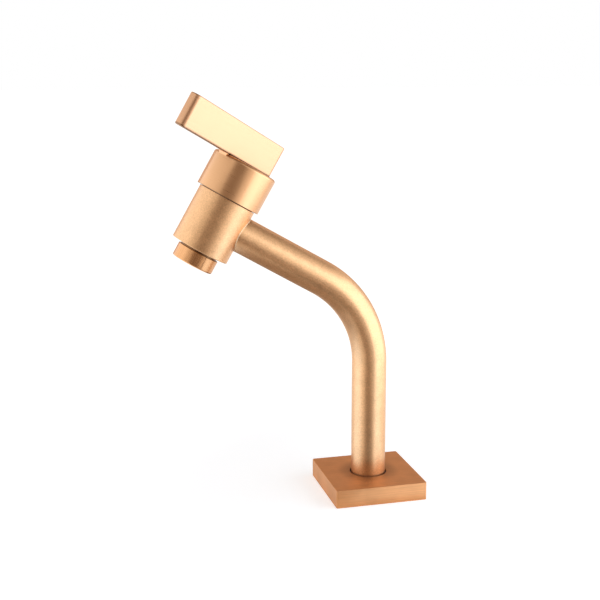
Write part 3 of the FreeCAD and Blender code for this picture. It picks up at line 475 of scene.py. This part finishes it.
def painted_shade(tree, tone, shader, source, start, end, dark):
    """Paints shade into a finish: darker at the start of a range of distances or heights, fading to
    its end.
    """
    shade = add_node(tree, "ShaderNodeMapRange",
                     {"Value": source, "From Min": start, "From Max": end, "To Min": dark,
                      "To Max": 1.0}, interpolation_type="SMOOTHSTEP")
    darker = add_node(tree, "ShaderNodeVectorMath", {0: tone.outputs["Result"],
                                                     "Scale": shade.outputs["Result"]},
                      operation="SCALE")
    tree.links.new(darker.outputs["Vector"], shader.inputs["Base Color"])


def axes(tree, place, centre=(0, 0, 0), turn=(0, 0, 0)):
    """The distance from a turned frame's upright axis, and the height along it."""
    parts = add_node(tree, "ShaderNodeSeparateXYZ",
                     {"Vector": stretched(tree, place, (1, 1, 1), centre, turn)}).outputs
    level = add_node(tree, "ShaderNodeCombineXYZ", {"X": parts["X"], "Y": parts["Y"]})
    away = add_node(tree, "ShaderNodeVectorMath", {0: level.outputs["Vector"]},
                    operation="LENGTH")
    return away.outputs["Value"], parts["Z"]


def soft_solid(name, value, roughness, grain, depth):
    """Moulded or lapped material: one colour with a faint grain and an uneven sheen.

    The grain and its depth are in millimetres, and coarser than the real ones so that they show.
    """
    uneven = 0.05
    tree = new_tree(name)
    bits = noise(tree, object_place(tree), size=grain * MM, detail=3.0)
    tone = add_node(tree, "ShaderNodeMix", {"Factor": bits, "A": tinted(value, 0.85),
                                            "B": tinted(value, 1.1)}, data_type="RGBA")
    bump = add_node(tree, "ShaderNodeBump", {"Strength": 1.0, "Distance": depth * MM,
                                             "Height": bits})
    shader = add_node(tree, "ShaderNodeBsdfPrincipled",
                      {"Base Color": tone.outputs["Result"],
                       "Roughness": spread(tree, bits, roughness - uneven, roughness + uneven),
                       "Normal": bump.outputs["Normal"]})
    add_node(tree, "ShaderNodeOutputMaterial", {"Surface": shader.outputs["BSDF"]})


# The finishes of the nodes that are shown as they come from the frame
NODE_FINISHES = {
    "Turned brass": ("backnut",),
    "Turned brass of the cartridge": ("spindle", "cartridge_nut"),
    "Brushed stainless steel": ("steel_washer", "spindle_clip", "lever_screws", "grub_screw",
                                "aerator_screen"),
    "Nitrile rubber": ("deck_gasket", "rubber_washer", "cartridge_ring", "seat_seal",
                       "spindle_rings", "aerator_gasket"),
    "Moulded black nylon": ("plate_ring", "glide_ring", "aerator_grille"),
    "Moulded white acetal": ("cartridge_housing", "thrust_washer", "aerator_diffuser"),
    "Lapped alumina": ("fixed_disc", "moving_disc"),
    "Turned rose copper": ("screw_plug",),
}


# Operators, one for each piece or group of like pieces


class TAP_OT_finishes(bpy.types.Operator):
    """Makes the finishes and puts them on the pieces that come from the frame"""

    bl_idname = "tap.finishes"
    bl_label = "Finishes"

    def execute(self, context):
        values = context.scene.tap_finishes
        lever = context.scene.tap_handle
        head = {"centre": HEAD_CENTRE, "turn": (0, HEAD_TILT, 0)}
        handle = {"centre": HEAD_CENTRE,
                  "turn": (HEAD_PLACE @ Matrix.Rotation(lever.bearing, 4, "Z")).to_euler()}
        # Blasted with beads: soft and even all round, with no lines
        blasted_metal("Blasted rose copper", values.blasted, roughness=0.37)
        # The same on the body, with painted shade as a dark line in the gap below the cap
        body = blasted_metal("Blasted rose copper of the body", values.blasted, roughness=0.37)
        shoulder = context.scene.tap_head.shoulder
        self.groove(*body, start=shoulder + 0.1 * MM, end=shoulder - 0.1 * MM, dark=0.12, **head)
        # Turned on a lathe and then smoothed: rings so faint that they only draw out the light
        cap = brushed_metal("Turned rose copper", values.brushed, roughness=0.3, along=TURNED,
                            contrast=0.015, **head)
        # Painted shade on the cap's lowest edge, in the gap above the body
        self.groove(*cap, start=lever.low + 0.2 * MM, end=lever.low + 0.5 * MM, dark=0.45,
                    **head)
        # Brushed from end to end: faint straight lines and a soft sheen
        blade = brushed_metal("Lengthwise brushed rose copper", values.blade, roughness=0.36,
                              along=LENGTHWISE, contrast=0.01, **handle)
        # Painted shade along the blade's foot, where it meets the cap
        self.blade_foot_shade(lever, *blade, **handle)
        # Linished on a belt: plain straight lines, and the dullest of the copper finishes
        tree, place, tone, shader = brushed_metal(
            "Linished rose copper", values.linished, roughness=0.55, along=LENGTHWISE,
            contrast=0.16)
        # Painted shade round the column's foot: the plate is darker near the tube
        away = axes(tree, place)[0]
        painted_shade(tree, tone, shader, away, start=12 * MM, end=22 * MM, dark=0.7)
        # Buffed, so that it mirrors more sharply than the other copper finishes
        collar = brushed_metal("Polished rose copper", values.polished, roughness=0.27,
                               along=UPRIGHT, contrast=0.16, **head)
        # Painted shade in the groove where the collar meets its threaded ring
        collar_top = context.scene.tap_aerator.collar_top
        self.groove(*collar, start=collar_top, end=collar_top - 0.3 * MM, dark=0.3, **head)
        # Paler than the copper round it, with a softer sheen
        blasted_metal("Silver braze", values.braze, roughness=0.45)
        # Bare brass from the lathe: yellow, with plain rings
        brushed_metal("Turned brass", values.brass, roughness=0.28, along=TURNED, contrast=0.1)
        brushed_metal("Turned brass of the cartridge", values.brass, roughness=0.28,
                      along=TURNED, contrast=0.1, **head)
        # Bare steel: a cool grey with straight lines
        brushed_metal("Brushed stainless steel", values.steel, roughness=0.3, along=LENGTHWISE,
                      contrast=0.08)
        # Nearly black and dull
        soft_solid("Nitrile rubber", hex_colour("#26262A"), roughness=0.62, grain=0.6,
                   depth=0.02)
        # Nearly black, with the soft sheen of a mould
        soft_solid("Moulded black nylon", hex_colour("#2B2B2E"), roughness=0.45, grain=0.4,
                   depth=0.01)
        # Off-white and smooth, a little waxy
        soft_solid("Moulded white acetal", hex_colour("#DEDED8"), roughness=0.38, grain=0.8,
                   depth=0.005)
        # Warm white and lapped so flat that it is nearly glossy
        soft_solid("Lapped alumina", hex_colour("#EDEAE2"), roughness=0.18, grain=0.3,
                   depth=0.001)
        for finish, nodes in NODE_FINISHES.items():
            for node in nodes:
                paint(frame["nodes"][node], finish)
        return {"FINISHED"}

    def groove(self, tree, place, tone, shader, start, end, dark, **frame_turn):
        """Paints shade on what lies on one side of a height, where a groove or gap between parts
        falls in shade.
        """
        height = axes(tree, place, **frame_turn)[1]
        painted_shade(tree, tone, shader, height, start, end, dark)

    def blade_foot_shade(self, size, tree, place, tone, shader, **frame_turn):
        """Paints shade on the blade's lowest edge, darkest in its corner with the cap."""
        corner = 0.1
        free_edge = 0.42
        away, height = axes(tree, place, **frame_turn)
        dark = add_node(tree, "ShaderNodeMapRange",
                        {"Value": away, "From Min": size.radius - 1 * MM, "From Max": size.radius,
                         "To Min": corner, "To Max": free_edge}).outputs["Result"]
        painted_shade(tree, tone, shader, height, start=size.top + 0.5 * MM,
                end=size.top + 1.7 * MM, dark=dark)


class TAP_OT_plate(bpy.types.Operator):
    """Models the hollow square plate round the column's foot"""

    bl_idname = "tap.plate"
    bl_label = "Base plate"

    def execute(self, context):
        size = context.scene.tap_plate
        half = size.side / 2
        deburr = 0.2 * MM
        piece = block("base_plate_cover", (-half, -half, 0), (half, half, size.height))
        choose(piece, lambda first, second: abs(first.z - second.z) > NEAR)
        bpy.ops.mesh.bevel(offset=size.corner, segments=5, affect="EDGES")
        choose(piece, lambda first, second: min(first.z, second.z) > size.height - NEAR)
        bpy.ops.mesh.bevel(offset=size.rounding, segments=4, affect="EDGES")
        object_mode()
        inner = half - size.wall
        cut_with(piece, block("plate_hollow", (-inner, -inner, -size.height),
                              (inner, inner, size.height - size.roof)))
        deselect()
        bpy.ops.mesh.primitive_cylinder_add(vertices=160, radius=size.hole, depth=size.side)
        cut_with(piece, named("plate_drill"))
        round_ring(piece, size.hole, size.height, deburr, segments=3)
        smooth(piece)
        finish_piece(piece, "tap", "satin_copper", "Linished rose copper", "base_plate")
        return {"FINISHED"}


class TAP_OT_foot(bpy.types.Operator):
    """Models the flanged foot with its threaded tail"""

    bl_idname = "tap.foot"
    bl_label = "Foot and tail"

    def execute(self, context):
        size = context.scene.tap_foot
        core = size.tail - size.depth
        piece = turn_outline("threaded_foot", [
            (size.bore, size.low), (core, size.low), (core, size.thread_top),
            (size.tail, size.thread_top), (size.tail, size.flange_low),
            (size.flange, size.flange_low), (size.flange, size.flange_top),
            (size.spigot, size.flange_top), (size.spigot, size.spigot_top),
            (size.bore, size.spigot_top)], segments=128)
        split = size.low + size.end_thread
        threads = [self.thread(size, core, size.low, split),
                   self.thread(size, core, split + size.relief, size.thread_top)]
        deselect()
        for part in (*threads, piece):
            part.select_set(True)
        bpy.context.view_layer.objects.active = piece
        bpy.ops.object.join()
        smooth(piece)
        finish_piece(piece, "tap", "raw_brass", "Turned brass", "foot_shank")
        return {"FINISHED"}

    def thread(self, size, core, start, end):
        """A diamond wound up round the tail, then trimmed to the thread's outer shape."""
        deselect()
        # Half the diamond's width and height, which leaves the thread a flat root
        reach = 1.25 * size.depth
        rise = 0.45 * size.pitch
        bpy.ops.mesh.primitive_circle_add(vertices=4, radius=reach, rotation=(math.pi / 2, 0, 0),
                                          location=(core, 0, start - size.pitch))
        ridge = named("tail_thread")
        bpy.ops.object.transform_apply()
        edit_all()
        bpy.ops.transform.resize(value=(1, 1, rise / reach))
        object_mode()
        turns = math.ceil((end - start) / size.pitch) + 2
        apply_modifier(ridge, "SCREW", axis="Z", screw_offset=size.pitch, iterations=turns,
                       steps=48, render_steps=48)
        edit_all()
        bpy.ops.mesh.fill_holes(sides=0)
        outwards()
        object_mode()
        tiny = 0.02 * MM
        start, end = start + tiny, end - tiny
        tip = size.tail - size.chamfer
        keep = turn_outline("thread_keep", [
            (size.bore + tiny, start), (tip, start), (size.tail, start + size.chamfer),
            (size.tail, end - size.chamfer), (tip, end), (size.bore + tiny, end)], segments=96)
        cut_with(ridge, keep, "INTERSECT")
        return ridge


class TAP_OT_tube(bpy.types.Operator):
    """Models the bent tube and the brazed bead where it meets the valve body"""

    bl_idname = "tap.tube"
    bl_label = "Bent tube"

    def execute(self, context):
        size = context.scene.tap_tube
        rise = HEAD_TILT
        deselect()
        bpy.ops.mesh.primitive_circle_add(vertices=128, radius=size.radius,
                                          location=(0, 0, size.foot))
        piece = named("bent_tube")
        bpy.ops.object.transform_apply()
        edit_all()
        bpy.ops.mesh.extrude_edges_move(
            TRANSFORM_OT_translate={"value": (0, 0, size.spring - size.foot)})
        bpy.ops.mesh.spin(steps=60, angle=math.pi / 2 - rise,
                          center=(-size.bend, 0, size.spring), axis=(0, 1, 0))
        arm = (-size.arm * math.cos(rise), 0, size.arm * math.sin(rise))
        bpy.ops.mesh.extrude_edges_move(TRANSFORM_OT_translate={"value": arm})
        outwards()
        object_mode()
        apply_modifier(piece, "SOLIDIFY", thickness=size.wall, offset=-1)
        deselect()
        bpy.ops.mesh.primitive_cylinder_add(vertices=256, radius=size.cope, depth=4 * size.radius,
                                            location=HEAD_CENTRE, rotation=(0, HEAD_TILT, 0))
        cut_with(piece, named("tube_cope"))
        smooth(piece)
        finish_piece(piece, "tap", "satin_copper", "Blasted rose copper", "spout_tube")
        self.bead(size)
        return {"FINISHED"}

    def bead(self, size):
        """A ring of braze in the corner between the two round walls, half sunk into both."""
        deselect()
        bpy.ops.mesh.primitive_torus_add(major_segments=160, minor_segments=12,
                                         major_radius=size.radius, minor_radius=size.bead,
                                         rotation=(0, math.pi / 2, 0))
        piece = named("braze_bead")
        bpy.ops.object.transform_apply()
        sunk = 0.35 * size.bead
        wall = size.cope - sunk
        for vertex in piece.data.vertices:
            bearing = math.atan2(vertex.co.y, vertex.co.z)
            across = size.radius * math.sin(bearing)
            vertex.co.x += math.sqrt(wall ** 2 - across ** 2)
        put(piece, HEAD_PLACE)
        smooth(piece, angle=60)
        finish_piece(piece, "tap", "satin_copper", "Silver braze")


class TAP_OT_body(bpy.types.Operator):
    """Models the turned valve body"""

    bl_idname = "tap.body"
    bl_label = "Valve body"

    def execute(self, context):
        size = context.scene.tap_head
        piece = turn_outline("turned_valve_body", [
            (size.pocket, size.bottom), (size.radius, size.bottom), (size.radius, size.shoulder),
            (size.neck, size.shoulder), (size.neck, size.neck_top), (size.chamber, size.neck_top),
            (size.chamber, size.floor), (size.outlet, size.floor),
            (size.outlet, size.pocket_top), (size.pocket, size.pocket_top)], segments=192)
        round_ring(piece, size.radius, size.bottom, size.edge, segments=3)
        round_ring(piece, size.radius, size.shoulder, size.edge / 2, segments=3)
        put(piece, HEAD_PLACE)
        smooth(piece)
        finish_piece(piece, "tap", "satin_copper", "Blasted rose copper of the body",
                     "valve_body")
        return {"FINISHED"}


class TAP_OT_aerator(bpy.types.Operator):
    """Models the aerator's collar and threaded ring"""

    bl_idname = "tap.aerator"
    bl_label = "Aerator"

    def execute(self, context):
        size = context.scene.tap_aerator
        top_edge = 0.25 * MM
        mouth_edge = 0.3 * MM
        piece = turn_outline("aerator_collar", [
            (size.bore, size.top), (size.thread, size.top), (size.thread, size.collar_top),
            (size.radius, size.collar_top), (size.radius, size.bottom), (size.lip, size.bottom),
            (size.lip, size.shelf), (size.bore, size.shelf)], segments=160)
        round_ring(piece, size.radius, size.bottom, size.rounding, segments=6)
        round_ring(piece, size.radius, size.collar_top, top_edge, segments=3)
        round_ring(piece, size.lip, size.bottom, mouth_edge, segments=3)
        put(piece, HEAD_PLACE)
        smooth(piece)
        finish_piece(piece, "tap", "polished_copper", "Polished rose copper", "aerator_housing")
        return {"FINISHED"}


class TAP_OT_cap(bpy.types.Operator):
    """Models the handle's cap with its boss and the way to the grub screw"""

    bl_idname = "tap.cap"
    bl_label = "Handle cap"

    def execute(self, context):
        size = context.scene.tap_handle
        # Radius of the small rings at the axis that the outline leaves open, to be filled
        tiny = 0.05 * MM
        piece = turn_outline("handle_cap_shell", [
            (tiny, size.top), (size.radius, size.top), (size.radius, size.low),
            (size.cavity, size.low), (size.cavity, size.cavity_top), (size.boss, size.cavity_top),
            (size.boss, size.boss_low), (size.socket, size.boss_low),
            (size.socket, size.socket_top), (tiny, size.socket_top)],
            segments=192, closed=False)
        round_ring(piece, size.radius, size.top, size.rim, segments=8)
        round_ring(piece, size.radius, size.low, size.hem, segments=3)
        deselect()
        middle = (size.cavity + size.radius) / 2
        bpy.ops.mesh.primitive_cylinder_add(vertices=48, radius=size.access,
                                            depth=size.cavity, rotation=(0, math.pi / 2, 0),
                                            location=(-middle, 0, size.access_height))
        cut_with(piece, named("cap_drill"))
        put(piece, HEAD_PLACE @ Matrix.Rotation(size.bearing, 4, "Z"))
        smooth(piece)
        finish_piece(piece, "handle", "polished_copper", "Turned rose copper", "handle_cap")
        return {"FINISHED"}


class TAP_OT_blade(bpy.types.Operator):
    """Models the lever's blade on the cap"""

    bl_idname = "tap.blade"
    bl_label = "Lever blade"

    def execute(self, context):
        size = context.scene.tap_handle
        half = size.thickness / 2
        crown = size.top + size.blade
        piece = block("lever_bar", (-size.heel, -half, size.top), (size.reach, half, crown))
        choose(piece, lambda first, second: abs(first.z - second.z) > NEAR)
        bpy.ops.mesh.bevel(offset=size.corner, segments=9, affect="EDGES")
        choose(piece, lambda first, second: abs(first.z - second.z) < NEAR)
        bpy.ops.mesh.bevel(offset=size.rounding, segments=3, affect="EDGES")
        object_mode()
        place = HEAD_PLACE @ Matrix.Rotation(size.bearing, 4, "Z")
        put(piece, place)
        smooth(piece)
        finish_piece(piece, "handle", "polished_copper", "Lengthwise brushed rose copper",
                     "lever_blade")
        self.fillet(size, half - size.rounding, place)
        return {"FINISHED"}

    def fillet(self, size, half, place):
        """A ring round the cap's rim, kept only under the blade."""
        outer = size.radius + size.fillet
        low = size.top - size.fillet
        curve = [(outer - size.fillet * math.cos(turn), low + size.fillet * math.sin(turn))
                 for turn in (math.radians(step) for step in range(90, -1, -10))]
        inner = size.radius - size.rim
        piece = turn_outline("blade_fillet", [(inner, size.top)] + curve, segments=192)
        keep = block("fillet_keep", (0, -half, low - size.fillet),
                     (2 * outer, half, size.top + size.fillet))
        cut_with(piece, keep, "INTERSECT")
        put(piece, place)
        smooth(piece)
        finish_piece(piece, "handle", "polished_copper", "Turned rose copper")


def lying(height, *corners):
    """The corners of a card that lies at one height."""
    return [(*corner, height) for corner in corners]


# The point that the lamps stand round and face, and how far away they stand, in metres
LAMP_CENTRE = Vector((-0.04, 0))
LAMP_DISTANCE = 0.3
# Distances from the tap between which the floor's lift grows, in metres
LIFT_STARTS = 0.12
LIFT_ENDS = 0.4
# The fitted camera's place in metres and its turns in degrees
CAMERA_PLACE = (-0.20373, -0.62669, 0.26659)
CAMERA_BEARING = -14.14
CAMERA_PITCH = 77.97
CAMERA_ROLL = -0.18
# Height of the cards that lie just above the floor
LOW = 1 * MM
# Each card's colour on the stage, its brightness and its corners in metres
CARDS = {
    "front_card": ("dark", 1, [(-0.23, -0.24, 0), (0.01, -0.24, 0), (-0.15, -0.24, 0.42),
                               (-0.3, -0.24, 0.42)]),
    "low_card": ("dark", 0.6, [(0.02, -0.24, 0), (0.09, -0.24, 0), (0.09, -0.24, 0.08),
                               (0.01, -0.24, 0.08)]),
    "near_deck_card": ("dark", 0.3, lying(LOW, (-0.05, -0.053), (-0.124, -0.13),
                                          (0.018, -0.13), (0.01, -0.053))),
    "far_deck_card": ("dark", 1.6, lying(LOW, (-0.124, -0.13), (-0.23, -0.24),
                                         (0.03, -0.24), (0.018, -0.13))),
    "arm_card": ("dark", 1.2, [(-0.1, -0.03, 0.125), (-0.033, -0.03, 0.087),
                               (-0.033, 0.12, 0.087), (-0.1, 0.12, 0.125)]),
    "top_card": ("dark", 0.9, lying(0.95, (-0.65, -0.75), (0.5, -0.75), (1.1, 0.7),
                                    (-0.65, 0.7))),
    "back_card": ("warm", 1.3, [(-0.5, 0.8, 0.02), (0.9, 0.8, 0.02), (0.9, 0.8, 0.8),
                                (-0.5, 0.8, 0.8)]),
}
# Each board's share of the boards' brightness, and its corners in metres
BOARDS = {
    "right_board": (1, lying(LOW, (0.018, -0.053), (0.12, -0.34), (0.25, -0.2), (0.06, 0))),
    "front_board": (1.15, lying(LOW, (-0.02, -0.036), (-0.01, -0.05), (0.05, -0.05),
                                (0.035, -0.036))),
    "left_board": (1, lying(1.2 * MM, (-0.055, -0.03), (-0.055, 0.045), (-0.5, 0.32),
                            (-0.5, -0.16))),
}


class TAP_OT_stage(bpy.types.Operator):
    """Sets up the floor, the lamps, the cards, the white background and the camera"""

    bl_idname = "tap.stage"
    bl_label = "Studio"

    def execute(self, context):
        stage = context.scene.tap_stage
        scene = context.scene
        scene.view_settings.view_transform = "Standard"
        self.background(scene, stage)
        self.floor(stage)
        self.lamp("right_lamp", stage.right, bearing=62, size=(0.5, 0.31), height=0.16)
        self.lamp("left_lamp", stage.left, bearing=-105, size=(0.5, 0.34), height=0.175)
        for name, (look, brightness, corners) in CARDS.items():
            self.card(name, getattr(stage, look), brightness, corners)
        for name, (share, corners) in BOARDS.items():
            self.card(name, stage.lamp, share * stage.boards, corners)
        self.camera(scene, stage)
        return {"FINISHED"}

    def seen(self, tree):
        """1 where the background itself, or its picture in metal or glass, is seen."""
        light = add_node(tree, "ShaderNodeLightPath")
        mirror = add_node(tree, "ShaderNodeMath", {0: light.outputs["Is Glossy Ray"],
                                                   1: light.outputs["Is Transmission Ray"]},
                          operation="MAXIMUM")
        return add_node(tree, "ShaderNodeMath", {0: light.outputs["Is Camera Ray"],
                                                 1: mirror.outputs[0]},
                        operation="MAXIMUM").outputs[0]

    def background(self, scene, stage):
        """A world that is white where it is seen, and lights the tap as a plain room does."""
        scene.world = bpy.data.worlds.new("White studio")
        scene.world.use_nodes = True
        tree = scene.world.node_tree
        tree.nodes.clear()
        tone = add_node(tree, "ShaderNodeMix", {"Factor": self.seen(tree),
                                                "A": rgba(stage.ambient),
                                                "B": rgba(stage.backdrop)}, data_type="RGBA")
        sky = add_node(tree, "ShaderNodeBackground", {"Color": tone.outputs["Result"],
                                                      "Strength": 1.0})
        add_node(tree, "ShaderNodeOutputWorld", {"Surface": sky.outputs["Background"]})

    def floor(self, stage):
        """A pale deck that keeps the shadow, lifted towards white where it is seen or mirrored."""
        deselect()
        bpy.ops.mesh.primitive_plane_add(size=40)
        plane = named("floor")
        tree = new_tree("Pale deck")
        deck = add_node(tree, "ShaderNodeBsdfDiffuse", {"Color": rgba(stage.floor)})
        away = add_node(tree, "ShaderNodeVectorMath", {0: object_place(tree)},
                        operation="LENGTH")
        share = add_node(tree, "ShaderNodeMapRange",
                         {"Value": away.outputs["Value"], "From Min": LIFT_STARTS,
                          "From Max": LIFT_ENDS, "To Min": stage.near_lift,
                          "To Max": stage.far_lift})
        lift = add_node(tree, "ShaderNodeMath", {0: self.seen(tree),
                                                 1: share.outputs["Result"]},
                        operation="MULTIPLY")
        glow = add_node(tree, "ShaderNodeEmission", {"Color": rgba(stage.backdrop),
                                                     "Strength": lift.outputs[0]})
        both = add_node(tree, "ShaderNodeAddShader", {0: deck.outputs[0], 1: glow.outputs[0]})
        clear = add_node(tree, "ShaderNodeBsdfTransparent")
        below = add_node(tree, "ShaderNodeNewGeometry").outputs["Backfacing"]
        # Seen from below the deck is clear, so that the tail and its nut show
        mixed = add_node(tree, "ShaderNodeMixShader", {"Fac": below, 1: both.outputs[0],
                                                       2: clear.outputs[0]})
        add_node(tree, "ShaderNodeOutputMaterial", {"Surface": mixed.outputs[0]})
        paint(plane, "Pale deck")

    def lamp(self, name, brightness, bearing, size, height):
        """A soft lamp at a bearing from the camera's side, whose face has this brightness."""
        light = bpy.data.lights.new(name, "AREA")
        light.shape = "RECTANGLE"
        light.size, light.size_y = size
        light.energy = brightness * math.pi * size[0] * size[1]
        light.color = bpy.context.scene.tap_stage.lamp
        lamp = bpy.data.objects.new(name, light)
        bpy.context.scene.collection.objects.link(lamp)
        turn = math.radians(bearing)
        lamp.location = (LAMP_CENTRE.x + LAMP_DISTANCE * math.sin(turn),
                         LAMP_CENTRE.y - LAMP_DISTANCE * math.cos(turn), height)
        level = Vector((*LAMP_CENTRE, height)) - lamp.location
        lamp.rotation_euler = level.to_track_quat("-Z", "Y").to_euler()

    def card(self, name, look, brightness, corners):
        """A card that glows evenly by itself and that only the metal sees, so that it has a tone to
        mirror.
        """
        deselect()
        bpy.ops.mesh.primitive_plane_add(size=2)
        card = named(name)
        places = {(-1, -1): 0, (1, -1): 1, (1, 1): 2, (-1, 1): 3}
        for vertex in card.data.vertices:
            vertex.co = corners[places[round(vertex.co.x), round(vertex.co.y)]]
        tree = new_tree(name)
        tone = add_node(tree, "ShaderNodeEmission", {"Color": rgba(look),
                                                     "Strength": brightness})
        add_node(tree, "ShaderNodeOutputMaterial", {"Surface": tone.outputs[0]})
        paint(card, name)
        card.visible_camera = False
        card.visible_diffuse = False
        card.visible_shadow = False

    def camera(self, scene, stage):
        """The camera, at the photograph's viewing angle."""
        data = bpy.data.cameras.new("camera")
        data.lens = stage.lens
        data.sensor_width = 36
        data.clip_start = 0.01
        data.clip_end = 100
        camera = bpy.data.objects.new("camera", data)
        scene.collection.objects.link(camera)
        aim = (Matrix.Rotation(math.radians(CAMERA_BEARING), 4, "Z")
               @ Matrix.Rotation(math.radians(CAMERA_PITCH), 4, "X")
               @ Matrix.Rotation(math.radians(CAMERA_ROLL), 4, "Z"))
        camera.matrix_world = Matrix.Translation(CAMERA_PLACE) @ aim
        scene.camera = camera


class TAP_PT_panel(bpy.types.Panel):
    """Lists the tap's operators with their sizes and colours"""

    bl_idname = "TAP_PT_panel"
    bl_label = "Tall Basin Tap"
    bl_space_type = "VIEW_3D"
    bl_region_type = "UI"
    bl_category = "Tap"

    def draw(self, context):
        for operator, group in ORDER:
            box = self.layout.box()
            box.operator(operator.bl_idname)
            if group:
                values = getattr(context.scene, group)
                for name in values.__annotations__:
                    box.prop(values, name)


GROUPS = {
    "tap_plate": TapPlateSizes,
    "tap_foot": TapFootSizes,
    "tap_tube": TapTubeSizes,
    "tap_head": TapHeadSizes,
    "tap_aerator": TapAeratorSizes,
    "tap_handle": TapHandleSizes,
    "tap_finishes": TapFinishes,
    "tap_stage": TapStage,
}
ORDER = (
    (TAP_OT_finishes, "tap_finishes"),
    (TAP_OT_plate, "tap_plate"),
    (TAP_OT_foot, "tap_foot"),
    (TAP_OT_tube, "tap_tube"),
    (TAP_OT_body, "tap_head"),
    (TAP_OT_aerator, "tap_aerator"),
    (TAP_OT_cap, "tap_handle"),
    (TAP_OT_blade, None),
    (TAP_OT_stage, "tap_stage"),
)
CLASSES = (*GROUPS.values(), *(operator for operator, group in ORDER), TAP_PT_panel)


def register():
    for item in CLASSES:
        bpy.utils.register_class(item)
    for name, group in GROUPS.items():
        setattr(bpy.types.Scene, name, PointerProperty(type=group))


def unregister():
    for name in GROUPS:
        delattr(bpy.types.Scene, name)
    for item in reversed(CLASSES):
        bpy.utils.unregister_class(item)


def main():
    register()
    for operator, _ in ORDER:
        name = operator.bl_idname.split(".")[1]
        getattr(bpy.ops.tap, name)()


if __name__ == "__main__":
    main()
